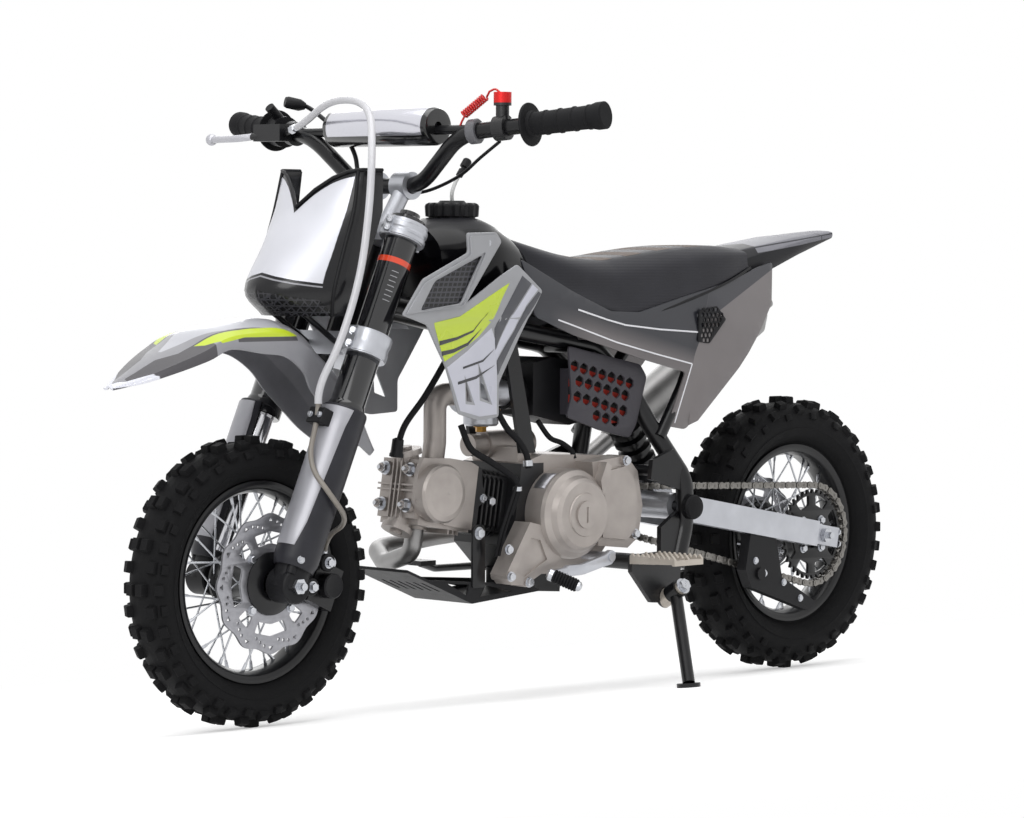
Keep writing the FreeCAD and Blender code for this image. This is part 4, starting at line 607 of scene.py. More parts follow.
for end, (axle, radius, half, rim_half) in WHEELS.items():
    place = Matrix.Translation(axle)
    wheel = moved(joined(rim(rim_half), lathe(HUB, (0, 0, 0), closed=True)), place)
    piece("rim_and_hub_" + end, wheel, end + "_wheel", BLACK, ["wheel_" + end], smooth=40)
    piece("spokes_" + end, moved(spokes(), place), end + "_wheel", ZINC, smooth=50)

# Brake discs: stainless plates with twelve waves, rows of small holes through the band that the pads
# sweep, long and short windows by turns inside it, and a black carrier with four bolts on the hub.
DISCS = {
    # End: axle, radius, middle of its thickness across, how far its carrier's boss stands out
    "front": (FRONT_AXLE, 94.0, 47.0, 8.0),
    "rear": (REAR_AXLE, 88.0, -54.0, 3.0),
}
DISC_THICK = 3.5
DISC_WAVES = 12
WAVE_DEPTH = 5.0
DISC_BORE = 42.0
# Half the angle of each window, in radians
DISC_WINDOWS = (0.42, 0.15) * 4


def ring_spot(r, a):
    """A point of an (x, z) outline by its radius and angle."""
    return (r * math.cos(a), r * math.sin(a))


def hole(x, z, radius, sides=12):
    """The outline of a round hole."""
    turns = [2 * math.pi * i / sides for i in range(sides)]
    return [(x + radius * math.cos(a), z + radius * math.sin(a)) for a in turns]


def corner_arc(before, corner, after, reach, share, steps):
    """Points that ease a corner off over a distance, or over a share of a shorter side."""
    back_way, on_way = before - corner, after - corner
    cut = min(reach, share * back_way.length, share * on_way.length)
    start, end = corner + back_way.normalized() * cut, corner + on_way.normalized() * cut
    steps_on = [i / steps for i in range(steps + 1)]
    return [start * (1 - t) ** 2 + corner * (2 * t * (1 - t)) + end * t ** 2 for t in steps_on]


def rounded(corners, reach, steps=4):
    """A closed outline with each corner eased off."""
    corners = [Vector(p) for p in corners]
    turns = zip(corners[-1:] + corners[:-1], corners, corners[1:] + corners[:1])
    return [spot for turn in turns for spot in corner_arc(*turn, reach, 0.42, steps)]


def wave_disc(radius):
    """The disc's outlines: waved edge, bore, windows and holes."""
    steps = DISC_WAVES * 12
    edge = []
    for i in range(steps):
        a = 2 * math.pi * i / steps
        edge.append(ring_spot(radius - WAVE_DEPTH * (1 - math.cos(DISC_WAVES * a)) / 2, a))
    loops = [edge, hole(0, 0, DISC_BORE, 32)]
    inner, outer = 54.0, radius - WAVE_DEPTH - 19
    for i, half in enumerate(DISC_WINDOWS):
        a = 2 * math.pi * i / len(DISC_WINDOWS)
        ways = [(inner, a - half), (inner, a), (inner, a + half)]
        ways += [(outer, way) for r, way in reversed(ways)]
        loops.append(rounded([ring_spot(r, way) for r, way in ways], 3))
    for i in range(DISC_WAVES):
        a = 2 * math.pi * i / DISC_WAVES
        tip = [ring_spot(radius - 5, a), *[ring_spot(radius - 10.5, way) for way in (a - 0.05, a + 0.05)]]
        loops.append(rounded(tip, 1.2, 2))
        for k, drop in enumerate((12, 15.5, 19)):
            loops.append(hole(*ring_spot(radius - drop + 1, a + 0.14 + 0.1 * k), 2.3, 10))
    return loops


def plate(loops, thick, edge, face, step=0.0):
    """A plate cut to (x, z) outlines, its edges rounded and its outer side at y = face(x, z)."""
    outline = bpy.data.curves.new("outline", "CURVE")
    outline.dimensions, outline.fill_mode = "2D", "BOTH"
    outline.extrude, outline.bevel_depth, outline.offset = thick / 2 - edge, edge, -edge
    outline.bevel_resolution = 1
    for loop in loops:
        spline = outline.splines.new("POLY")
        spline.points.add(len(loop) - 1)
        for point, spot in zip(spline.points, loop):
            point.co = (spot[0], spot[1], 0, 1)
        spline.use_cyclic_u = True
    holder = bpy.data.objects.new("outline", outline)
    built = bmesh.new()
    built.from_mesh(bpy.data.meshes.new_from_object(holder))
    bpy.data.objects.remove(holder)
    bmesh.ops.remove_doubles(built, verts=built.verts, dist=0.005)
    if step:
        for axis in (0, 1):
            low = min(spot[axis] for loop in loops for spot in loop)
            high = max(spot[axis] for loop in loops for spot in loop)
            for i in range(1, math.ceil((high - low) / step)):
                at, normal = [0, 0, 0], [0, 0, 0]
                at[axis], normal[axis] = low + i * step, 1
                everything = built.verts[:] + built.edges[:] + built.faces[:]
                bmesh.ops.bisect_plane(built, geom=everything, plane_co=at, plane_no=normal, dist=0.001)
    for vert in built.verts:
        x, z, across_it = vert.co
        vert.co = (x, face(x, z) - thick / 2 + across_it, z)
    return from_bmesh(built)


def bolt(at, way, radius, tall, sides=6):
    """A hexagon or cap screw's head on its washer, standing on a surface."""
    washer = [(0, 0), (radius * 1.3, 0), (radius * 1.3, 0.8), (0, 0.8)]
    head = [(0, 0.8), (radius, 0.8), (radius, tall - 0.6), (radius * 0.85, tall), (0, tall)]
    return joined(lathe(washer, at, way, 20), lathe(head, at, way, sides))


def bolts(name, body, *heads):
    """A piece of zinc-plated bolts, screws or fittings."""
    return piece(name, joined(*heads), body, ZINC, smooth=30)


STEEL = plain("bright_steel", (140, 140, 145), (172, 172, 177), 0.12, 0.36, 0.1, metallic=0.8, grain=0.03)
for end, (axle, radius, across_at, rise) in DISCS.items():
    side = math.copysign(1, across_at)
    inner, outer = abs(across_at) - DISC_THICK / 2, abs(across_at) + DISC_THICK / 2
    flat = plate(wave_disc(radius), DISC_THICK, 0.4, lambda x, z: DISC_THICK / 2)
    body = moved(flat, Matrix.Translation(axle + Vector((0, across_at, 0))))
    profile = [(20, 38), (44, 38), (46, 40), (46, inner), (DISC_BORE, inner), (DISC_BORE, outer + 2)]
    profile += [(40, outer + 3), (30, outer + rise), (20, outer + rise)]
    carrier = lathe(profile, axle, (0, side, 0), closed=True)
    piece("wave_disc_" + end, body, end + "_wheel", STEEL, ["disc_" + end], smooth=35)
    piece("disc_carrier_" + end, carrier, end + "_wheel", BLACK, smooth=35)
    heads = []
    for i in range(4):
        x, z = ring_spot(48, math.pi / 4 + i * math.pi / 2)
        heads.append(bolt(axle + Vector((x, side * outer, z)), (0, side, 0), 5.2, 5))
    bolts("disc_bolts_" + end, end + "_wheel", *heads)

# Final drive: a black sprocket with windows on the rear hub, and a roller chain of inner and outer
# links round it and the engine's own sprocket.
CHAIN_PITCH = 12.7
CHAIN_Y = 62.0
REAR_TEETH = 37
FRONT_TEETH = 14
OUTPUT_SHAFT = Vector((-80, 0, 271))
LINK_TALL = 10.6
LINK_WAIST = 7.4


def pitch_radius(teeth):
    return CHAIN_PITCH / (2 * math.sin(math.pi / teeth))


# Corners of a sprocket's window: radius, and angle from its middle in radians
WINDOW_CORNERS = ((45, -0.22), (45, 0.22), (60, 0.26), (60, 0), (60, -0.26))


def sprocket_loops(teeth, bore, windows):
    """A sprocket's outlines: pointed teeth, bore and windows between its bolts."""
    tip, root = pitch_radius(teeth) - 6.3, pitch_radius(teeth) - 12
    edge = []
    for i in range(teeth):
        for share, r in ((0.0, root), (0.12, root), (0.34, tip), (0.5, tip), (0.72, root)):
            edge.append(ring_spot(r, 2 * math.pi * (i + share) / teeth))
    loops = [edge, hole(0, 0, bore, 32)]
    for i in range(windows):
        a = 2 * math.pi * (i + 0.5) / windows
        corners = [ring_spot(r, a + reach) for r, reach in WINDOW_CORNERS]
        loops.append(rounded(corners, 3))
    return loops


R_REAR, R_FRONT = pitch_radius(REAR_TEETH), pitch_radius(FRONT_TEETH)
shafts = OUTPUT_SHAFT - REAR_AXLE
CHAIN_TILT, CHAIN_LEAD = math.atan2(shafts.z, shafts.x), math.acos((R_REAR - R_FRONT) / shafts.length)
CHAIN_RUN = math.sqrt(shafts.length ** 2 - (R_REAR - R_FRONT) ** 2)
WRAP_FRONT = 2 * CHAIN_LEAD * R_FRONT
CHAIN_LENGTH = 2 * CHAIN_RUN + WRAP_FRONT + 2 * (math.pi - CHAIN_LEAD) * R_REAR


def chain_line(share):
    """The point and direction at a share of the way round the chain's closed line."""
    def on_ring(centre, r, a):
        return centre + Vector((r * math.cos(a), 0, r * math.sin(a))), Vector((math.sin(a), 0, -math.cos(a)))

    at = share % 1 * CHAIN_LENGTH
    start, way = on_ring(REAR_AXLE, R_REAR, CHAIN_TILT + CHAIN_LEAD)
    if at < CHAIN_RUN:
        return start + way * at, way
    at -= CHAIN_RUN
    if at < WRAP_FRONT:
        return on_ring(OUTPUT_SHAFT, R_FRONT, CHAIN_TILT + CHAIN_LEAD - at / R_FRONT)
    at -= WRAP_FRONT
    start, way = on_ring(OUTPUT_SHAFT, R_FRONT, CHAIN_TILT - CHAIN_LEAD)
    if at < CHAIN_RUN:
        return start + way * at, way
    return on_ring(REAR_AXLE, R_REAR, CHAIN_TILT - CHAIN_LEAD - (at - CHAIN_RUN) / R_REAR)


def link_plate(gap, thick):
    """A pair of waisted side plates, a gap apart, along X from one pin to the next."""
    outline = []
    for centre, turn_from in ((CHAIN_PITCH / 2, -70), (-CHAIN_PITCH / 2, 110)):
        for step in range(5):
            a = math.radians(turn_from + step * 35)
            outline.append((centre + LINK_TALL / 2 * math.cos(a), LINK_TALL / 2 * math.sin(a)))
        outline.append((0, LINK_WAIST / 2 * (1 if centre > 0 else -1)))
    near = plate([outline], thick, 0.25, lambda x, z: gap / 2 + thick)
    return joined(near, plate([outline], thick, 0.25, lambda x, z: -gap / 2))


outer_link, inner_link = link_plate(9.6, 1.6), link_plate(6.2, 1.5)
PIN = [(0, -7.0), (2.2, -7.0), (2.2, -5), (3.9, -3.2), (3.9, 3.2), (2.2, 5), (2.2, 7.0), (0, 7.0)]
pin = lathe(PIN, (0, 0, 0), steps=10)
links = 2 * round(CHAIN_LENGTH / CHAIN_PITCH / 2)
meshes = []
for i in range(links):
    start, end = chain_line(i / links)[0], chain_line((i + 1) / links)[0]
    way = (end - start).normalized()
    turn = Matrix((way, Vector((0, 1, 0)), way.cross(Vector((0, 1, 0))))).transposed().to_4x4()
    middle = Matrix.Translation((start + end) / 2 + Vector((0, CHAIN_Y, 0)))
    meshes.append(moved(inner_link if i % 2 else outer_link, middle @ turn))
    meshes.append(moved(pin, Matrix.Translation(start + Vector((0, CHAIN_Y, 0)))))
CHAIN_STEEL = plain("chain_steel", (96, 94, 92), (150, 147, 142), 0.3, 0.32, 0.16, metallic=1.0)
piece("roller_chain", joined(*meshes), "chassis", CHAIN_STEEL, ["chain"], smooth=30)
toothed = plate(sprocket_loops(REAR_TEETH, 20, 8), 5, 0.5, lambda x, z: 2.5)
toothed = moved(toothed, Matrix.Translation(REAR_AXLE + Vector((0, CHAIN_Y, 0))))
carrier = lathe([(20, 38), (40, 38), (40, CHAIN_Y - 2.5), (20, CHAIN_Y - 2.5)], REAR_AXLE, closed=True)
sprocket = joined(toothed, carrier)
piece("toothed_sprocket", sprocket, "rear_wheel", BLACK, ["sprocket_rear"], smooth=35)
spots = [ring_spot(29, math.pi / 4 + i * math.pi / 2) for i in range(4)]
heads = [bolt(REAR_AXLE + Vector((x, CHAIN_Y + 2.5, z)), (0, 1, 0), 5.5, 5.5) for x, z in spots]
bolts("sprocket_bolts", "rear_wheel", *heads)

# Fork: glossy black outer tubes held by silver clamps, with a coloured band and fine tick marks, and
# sliders behind moulded guards: a black channel with a silver face plate screwed at its foot.
RAKE = math.radians(24)


def on_fork(along, ahead, y):
    """A point by its distance up the fork from the axle, ahead of the legs' plane, and across."""
    up, ahead_way = Vector((-math.sin(RAKE), 0, math.cos(RAKE))), Vector((math.cos(RAKE), 0, math.sin(RAKE)))
    return FRONT_AXLE + up * along + ahead_way * ahead + Vector((0, y, 0))


FORK_HALF_SPAN = 82.0
TUBE_FOOT, TUBE_TOP = 236.0, 531.0
GUARD_FOOT, GUARD_TOP = 22.0, 250.0
fork_up = (on_fork(1, 0, 0) - on_fork(0, 0, 0)).normalized()
fork_ahead = (on_fork(0, 1, 0) - on_fork(0, 0, 0)).normalized()
TUBE_PROFILE = [
    (18.2, TUBE_FOOT), (25, TUBE_FOOT), (26, TUBE_FOOT + 1.5), (26, TUBE_FOOT + 18), (24.5, TUBE_FOOT + 22),
    (23.5, TUBE_FOOT + 24), (23.5, TUBE_TOP - 1), (22, TUBE_TOP), (15, TUBE_TOP), (14, TUBE_TOP + 8),
    (0, TUBE_TOP + 8),
]
# Cuts of a guard and of its face: height, reach, and the angles at which it starts and ends
GUARD_CUTS = (
    (GUARD_FOOT, 27, -52, 150), (GUARD_FOOT + 12, 30.5, -52, 150),
    (GUARD_TOP - 4, 31, -46, 148), (GUARD_TOP, 30, -46, 146),
)
FACE_CUTS = (
    (GUARD_FOOT + 26, 31.6, -34, 34), (GUARD_FOOT + 60, 31.7, -36, 46),
    (GUARD_TOP - 30, 32, -34, 62), (GUARD_TOP - 4, 32, -30, 70),
)
ADJUSTER_PROFILE = [(0, TUBE_TOP + 8), (7, TUBE_TOP + 8), (7, TUBE_TOP + 9.6), (0, TUBE_TOP + 9.6)]


def around_leg(shape_rows, side):
    """Rows of (ahead, outward, along) points placed round one fork leg."""
    return [[on_fork(along, ahead, side * (FORK_HALF_SPAN + outward)) for ahead, outward, along in row]
            for row in shape_rows]


def guard_row(along, reach, wrap_ahead, wrap_back, steps=18):
    """One cut of a guard: an arc round the leg from its front, over its outer side, to its back."""
    row = []
    for i in range(steps + 1):
        a = math.radians(wrap_ahead + (wrap_back - wrap_ahead) * i / steps)
        row.append((2 + reach * math.cos(a), 2 + reach * math.sin(a), along))
    return row


def fork_paint(at):
    """Black paint with an orange band and fine pale ticks under it."""
    up_leg = at.along(fork_up) - FRONT_AXLE.dot(fork_up)
    facing = at.along(fork_ahead) - FRONT_AXLE.dot(fork_ahead)
    band = up_leg.between(460, 468, 0.6)
    tick = up_leg.repeating(7).between(0.0, 0.16, 0.05) * up_leg.between(404, 452) * facing.between(6, 15)
    return {
        "Base Color": band.tint(tick.tint((14, 14, 17), (150, 150, 154)), (222, 66, 28)),
        "Roughness": at.noise(0.1) * 0.06 + 0.1,
        "Coat Weight": 0.6,
        "Coat Roughness": 0.05,
    }


CHROME = plain("chrome", (196, 196, 200), (222, 222, 226), 0.02, 0.06, 0.1, metallic=1.0)
RED = plain("red_plastic", (176, 22, 20), (206, 34, 30), rough=0.35)
FORK_PAINT = material("fork_paint", fork_paint)
GUARD_PLASTIC = plain("guard_plastic", (30, 30, 35), (44, 44, 50), rough=0.34, grain=0.05, shine=0.3)
FACE_SILVER = plain("face_silver", (148, 148, 154), (176, 176, 182), 0.02, 0.34, 0.1, metallic=0.3, coat=0.2)
for side, hand in ((1, "left"), (-1, "right")):
    foot = FRONT_AXLE + Vector((0, side * FORK_HALF_SPAN, 0))
    replaced = (["fork_uppers"], ["fork_lowers"]) if side > 0 else ([], [])
    uppers = lathe(TUBE_PROFILE, foot, fork_up)
    piece("fork_tube_" + hand, uppers, "steering", FORK_PAINT, replaced[0], smooth=30)
    adjuster = lathe(ADJUSTER_PROFILE, foot, fork_up, 24)
    piece("fork_adjuster_" + hand, adjuster, "steering", RED, smooth=30)
    channel = skin(around_leg([guard_row(*row) for row in GUARD_CUTS], side), outward=(0.3, side, 0))
    slider = lathe([(18, 0), (18, TUBE_FOOT + 40), (0, TUBE_FOOT + 40)], foot, fork_up)
    piece("guard_" + hand, channel, "steering", GUARD_PLASTIC, replaced[1], 50, 0.8, 3.2)
    piece("slider_" + hand, slider, "steering", CHROME, smooth=30)
    face = skin(around_leg([guard_row(*row) for row in FACE_CUTS], side), outward=(0.3, side, 0))
    piece("guard_face_" + hand, face, "steering", FACE_SILVER, smooth=50, thick=1.0, bevel=0.4)
    beside = foot + fork_ahead * 15 + Vector((0, side * 15, 0))
    lug = [
        lathe([(6.1, -19), (22, -19), (24, -17), (24, 17), (22, 19), (6.1, 19)], foot, closed=True),
        lathe([(24, -8), (24, 22), (27, 26), (27, 32), (20, 36), (0, 36)], foot, fork_up),
        tube([beside + fork_up * 12, beside + fork_up * 34], 7),
    ]
    piece("axle_lug_" + hand, joined(*lug), "steering", BLACK_PLASTIC, smooth=35)
    screw_at = foot + fork_up * 32 + fork_ahead * 16 + Vector((0, side * 28, 0))
    bolts("guard_screw_" + hand, "steering", bolt(screw_at, fork_ahead * 0.5 + Vector((0, side, 0)), 4, 4))

# Clamp bolts: two socket-headed bolts pinch each clamp ring from the front, and the stem's nut and
# the ribbed rings of the silver upper clamp stand on top.
LOWER_CLAMP_AT, UPPER_CLAMP_AT = 344.0, 510.0
CLAMP_RIBS = (
    # Foot of a clamp, then its ring's outline as (radius, height over that foot)
    (UPPER_CLAMP_AT - 13, ((30.4, 1), (32, 2), (32, 7), (30.6, 9), (30.6, 12), (32, 14), (32, 20),
                           (30.4, 22))),
    (LOWER_CLAMP_AT - 17, ((30.4, 1), (31.6, 2), (31.6, 11), (30.6, 14), (30.6, 20), (31.6, 23), (31.6, 32),
                           (30.4, 33))),
)
heads = [bolt(on_fork(UPPER_CLAMP_AT + 13, -25, 0), fork_up, 15, 12)]
collars = []
for side in (1, -1):
    for at, spread in ((LOWER_CLAMP_AT, 9), (UPPER_CLAMP_AT, 6)):
        for step in (-spread, spread):
            start = on_fork(at + step, 31, side * (FORK_HALF_SPAN + 1))
            heads.append(bolt(start, fork_ahead * 0.85 + Vector((0, side * 0.5, 0)), 4.6, 6, 20))
    for low, ribs in CLAMP_RIBS:
        leg = FRONT_AXLE + Vector((0, side * FORK_HALF_SPAN, 0))
        collars.append(lathe([(r, low + rise) for r, rise in ribs], leg, fork_up))
bolts("clamp_bolts", "steering", *heads)
piece("clamp_rings", joined(*collars), "steering", SILVER, smooth=30)

# Front caliper: black cast body over the disc with a round piston cap, two flanged bolts to its
# bracket and a banjo fitting at the top where the hose ends.
CALIPER_AT = on_fork(28, -78, 47)
cap = lathe([(0, 29), (15, 29), (17, 30), (17, 34), (15, 36), (13, 35), (0, 35)], CALIPER_AT)
EAR = [(0, 26), (11, 26), (12, 27), (12, 32), (11, 33), (0, 33)]
ears_at = CALIPER_AT + fork_up * 26 + fork_ahead * 20, CALIPER_AT - fork_up * 14 + fork_ahead * 34
ears = [lathe(EAR, at) for at in ears_at]
piece("caliper_cap", joined(cap, *ears), "steering", BLACK_PLASTIC, smooth=35)
bolts("caliper_bolts", "steering", *[bolt(at + Vector((0, 33, 0)), (0, 1, 0), 6, 7) for at in ears_at])

# Handlebar: a black bar with a crossbar whose round foam pad is chromed vinyl above and black below,
# knurled grips with flanges, and the collar, throttle, master cylinder and stop switch.
BAR_CENTRE = on_fork(UPPER_CLAMP_AT + 79.5, -19, 0)
BAR_GRIP = on_fork(UPPER_CLAMP_AT + 180.5, -22, 0)
BAR_RADIUS = 11.1
GRIP_IN, GRIP_OUT = 254.0, 364.0
PAD_HALF, PAD_RADIUS = 104.0, 26.0
pad_at = Vector((BAR_CENTRE.x + 7, 0, BAR_CENTRE.z + 80))
knee = Vector((BAR_CENTRE.x + 9, 150, BAR_CENTRE.z + 70))
bar_end = Vector((BAR_GRIP.x, GRIP_OUT - 4, BAR_GRIP.z))


def whole(half):
    """A run of points from the middle plane outward, with its mirror image before it."""
    return [Vector((p.x, -p.y, p.z)) for p in reversed(half[1:])] + half


def bent(corners, reach, steps):
    """An open route whose inner corners are eased off."""
    corners = [Vector(p) for p in corners]
    turns = zip(corners, corners[1:], corners[2:])
    arcs = [spot for turn in turns for spot in corner_arc(*turn, reach, 0.45, steps)]
    return [corners[0], *arcs, corners[-1]]


half = [Vector((BAR_CENTRE.x, y, BAR_CENTRE.z)) for y in (0, 62)] + [knee, bar_end]
bar_mesh = tube(bent(whole(half), 34, 8), BAR_RADIUS, 20)
cross = tube([(pad_at.x, -166, pad_at.z - 5), (pad_at.x, 166, pad_at.z - 5)], 6.5, 14)
piece("bent_bar", joined(bar_mesh, cross), "steering", BLACK, ["handlebar"], smooth=50)


def pad_vinyl(at):
    """Chromed vinyl on the upper two thirds, black below and round both ends."""
    bright = at.part("Z").beyond(pad_at.z - 12, 1.0) * at.aside().between(-1, PAD_HALF - 9, 1.0)
    return {
        "Base Color": bright.tint((13, 13, 15), (214, 214, 222)),
        "Metallic": bright * 0.8,
        "Roughness": bright * -0.02 + 0.2,
        "Coat Weight": 0.5,
        "Normal": at.noise(0.05, 2.0).relief(0.5),
    }


def both_sides(mesh):
    """A left-side mesh and its mirror image on the bike's right."""
    return joined(mesh, moved(mesh, Matrix.Scale(-1, 4, (0, 1, 0))))


end = [(6.6, PAD_HALF), (PAD_RADIUS - 6, PAD_HALF + 1), (PAD_RADIUS - 2, PAD_HALF)]
end.append((PAD_RADIUS, PAD_HALF - 4))
profile = [(r, -along) for r, along in end] + [(PAD_RADIUS + 0.6, 0)] + end[::-1]
pad = piece("pad", lathe(profile, pad_at, closed=True, steps=64), "steering",
            material("pad_vinyl", pad_vinyl), ["bar_pad"], smooth=45)

outer_way = (bar_end - knee).normalized()
grip_start = bar_end - outer_way * (GRIP_OUT - GRIP_IN)
GRIP_RINGS = (28, 50, 72, 94)
profile = [(11.2, 0), (29, 0), (29.5, 1.5), (29, 3.5), (18.5, 4.5), (17.5, 9)]
for at in GRIP_RINGS:
    profile += [(15.6, at - 18), (15.9, at - 2), (16.9, at - 1), (16.9, at + 1), (15.9, at + 2)]
profile += [(18.5, 106), (18.5, 117), (16, 118.5), (0, 118.5)]
RUBBER = plain("soft_rubber", (15, 15, 17), (28, 28, 30), 0.2, 0.6, 0.2, grain=0.12, shine=0.18)
grips = both_sides(lathe(profile, grip_start, outer_way, 40))
piece("rubber_grips", grips, "steering", RUBBER, ["grips"], smooth=30)
COLLAR = [(11.3, -7), (15.5, -7), (17, -5.5), (17, 5.5), (15.5, 7), (11.3, 7)]
COLLAR_GREY = plain("collar_grey", (84, 84, 88), (104, 104, 108), rough=0.4)
collar = lathe(COLLAR, knee + outer_way * 22, outer_way, closed=True)
piece("bar_collar", collar, "steering", COLLAR_GREY, smooth=35)

# Number plate: a black moulding with a bevelled rim and a notch in its top edge, a plain silver face
# sheet with a thin line under it, and a honeycomb grille along the bottom.
PLATE_ROWS = (
    # Height above the axle, nose ahead of it, half width, corners' sweep back, depth of the sides
    (354, -44, 68, 52, 20),
    (388, -13, 82, 76, 30),
    (445, -50, 84, 54, 40),
    (496, -84, 84, 36, 44),
    (550, -112, 80, 18, 38),
)
NOTCH_DEEP, NOTCH_HALF = 50.0, 84.0
FACE_HALF = 71.0


def plate_cut(above, nose, half, sweep, depth):
    """Half a horizontal cut of the plate, from its middle to the back of its side."""
    face = ((0, 0), (0.07, 0.28), (0.27, 0.56), (0.62, 0.8), (0.93, 0.955))
    spots = [(nose - back * sweep, half * out) for back, out in face]
    spots += [(nose - sweep - 5, half + 1.5), (nose - sweep - depth, half + 3)]
    return [FRONT_AXLE + Vector((x, y, above)) for x, y in spots]


def notched(rows):
    """The plate's rows with the top ones drawn down into the notch."""
    top, under = rows[-1], rows[-2]
    out = []
    for j, spot in enumerate(top):
        drop = NOTCH_DEEP * max(0.0, 1 - abs(spot.y) / NOTCH_HALF) ** 2
        share = drop / (PLATE_ROWS[-1][0] - PLATE_ROWS[-2][0])
        out.append(spot.lerp(under[j], min(share, 0.98)))
    return rows[:-1] + [out]


def eased_rows(rows, steps):
    """More rows between the given ones, eased along the body."""
    return [list(row) for row in zip(*[eased(column, steps) for column in zip(*rows)])]


half_rows = notched([plate_cut(*row) for row in PLATE_ROWS])
*lower_rows, brow, top = [whole(row) for row in half_rows]
rows = eased_rows([*lower_rows, brow], 5)
rows += [[a.lerp(b, k / 5) for a, b in zip(brow, top)] for k in range(1, 6)]


def plate_plastic(at):
    """Black plastic with the silver face, its line and the grille's cells, the cells painted near black as
    shade in their recesses, in folded half-plate terms.
    """
    y, z = at.aside(), at.part("Z")
    side_edge = 1 - (y - (z - 590) * 0.02).beyond(FACE_HALF, 0.5)
    inward = 1 - y * (1 / NOTCH_HALF)
    top_edge = 1 - (z + inward * inward * NOTCH_DEEP).beyond(FRONT_AXLE.z + 542, 0.7)
    fall = z + y * 0.2
    face = side_edge * top_edge * fall.beyond(607, 0.5)
    line = side_edge * fall.between(601.5, 603.5, 0.4)
    cells = {"Vector": at, "Scale": 0.12, "Randomness": 0.0}
    cell = at.put("ShaderNodeTexVoronoi", cells, feature="DISTANCE_TO_EDGE")
    in_grille = (1 - fall.beyond(584, 0.6)) * (1 - y.beyond(66, 0.5)) * y.beyond(2.5, 0.4)
    # The grille's cell holes are painted near black: painted shade in the recesses.
    grille = in_grille * cell.beyond(0.12, 0.05)
    moulding = grille.tint(in_grille.tint((15, 15, 18), (52, 52, 56)), (3, 3, 4))
    silver = at.noise(0.012, 2.0).tint((196, 197, 204), (222, 223, 230))
    return {
        "Base Color": line.tint(face.tint(moulding, silver), (150, 150, 156)),
        "Roughness": face * 0.12 + 0.26,
        "Metallic": face * 0.35,
        "Normal": (face * 0.7 - grille * 2.0).relief(0.8),
        "Coat Weight": 0.15,
        "Specular IOR Level": 0.3,
    }


piece("plate_shell", skin(rows, outward=(1, 0, 0)), "steering",
      material("plate_plastic", plate_plastic), ["number_plate"], smooth=24, thick=3.0, bevel=0.5)
side_rim = tube(eased([row[-3] for row in half_rows], 4), 2.6, 8)
top_rim = tube([p + Vector((1, 0, 0.5)) for p in rows[-1]], 2.4, 8)
rims = joined(both_sides(side_rim), top_rim)
piece("plate_rim", rims, "steering", BLACK_PLASTIC, smooth=50)
stays = [tube([on_fork(clamp_at, 8, y), FRONT_AXLE + Vector((ahead, y, above))], 4, 10)
         for clamp_at, ahead, above in ((LOWER_CLAMP_AT, -40, 378), (UPPER_CLAMP_AT, -82, 476))
         for y in (-30, 30)]
piece("plate_stays", joined(*stays), "steering", BLACK, smooth=40)

# Front fender: a long arched blade of light-grey plastic with a turned-down edge and a crease down
# each side wall ahead of the clamp, with dark, lime and silver graphics on its crown, a painted shadow
# under the lime and a painted highlight on the spear.
FENDER_ROWS = (
    # Ahead of and above the axle at the crown, half width, fall of the edges, tip back in degrees
    (238, 266, 10, 3, -26), (210, 279, 31, 11, -26), (170, 300, 52, 18, -23), (130, 319, 66, 22, -20),
    (90, 338, 68, 26, -12), (27, 350, 62, 44, 0), (-24, 350, 60, 50, 9), (-70, 332, 56, 56, 20),
    (-100, 308, 50, 62, 28), (-135, 279, 50, 62, 34), (-174, 232, 48, 52, 46), (-205, 175, 40, 22, 58),
)


def fender_cut(ahead, above, half, drop, tilt_deg):
    """An arched cut: a flat crown, a firm shoulder and a hanging side."""
    tilt = math.radians(tilt_deg)
    down = Vector((math.sin(tilt), 0, -math.cos(tilt)))
    shoulder = drop * 0.35 + 2
    line = [
        (0, 0), (0.3, 0.6), (0.5, 3.0), (0.78, 3 + (shoulder - 3) * 0.45),
        (max(0.84, 1 - 4 / half), shoulder - 1), (max(0.9, 1 - 2.6 / half), shoulder + 2),
        (max(0.96, 1 - 1 / half), drop * 0.75), (1.0, drop),
    ]
    line = [(across, min(fall, drop)) for across, fall in line]
    return whole([FRONT_AXLE + Vector((ahead, half * y, above)) + down * fall for y, fall in line])


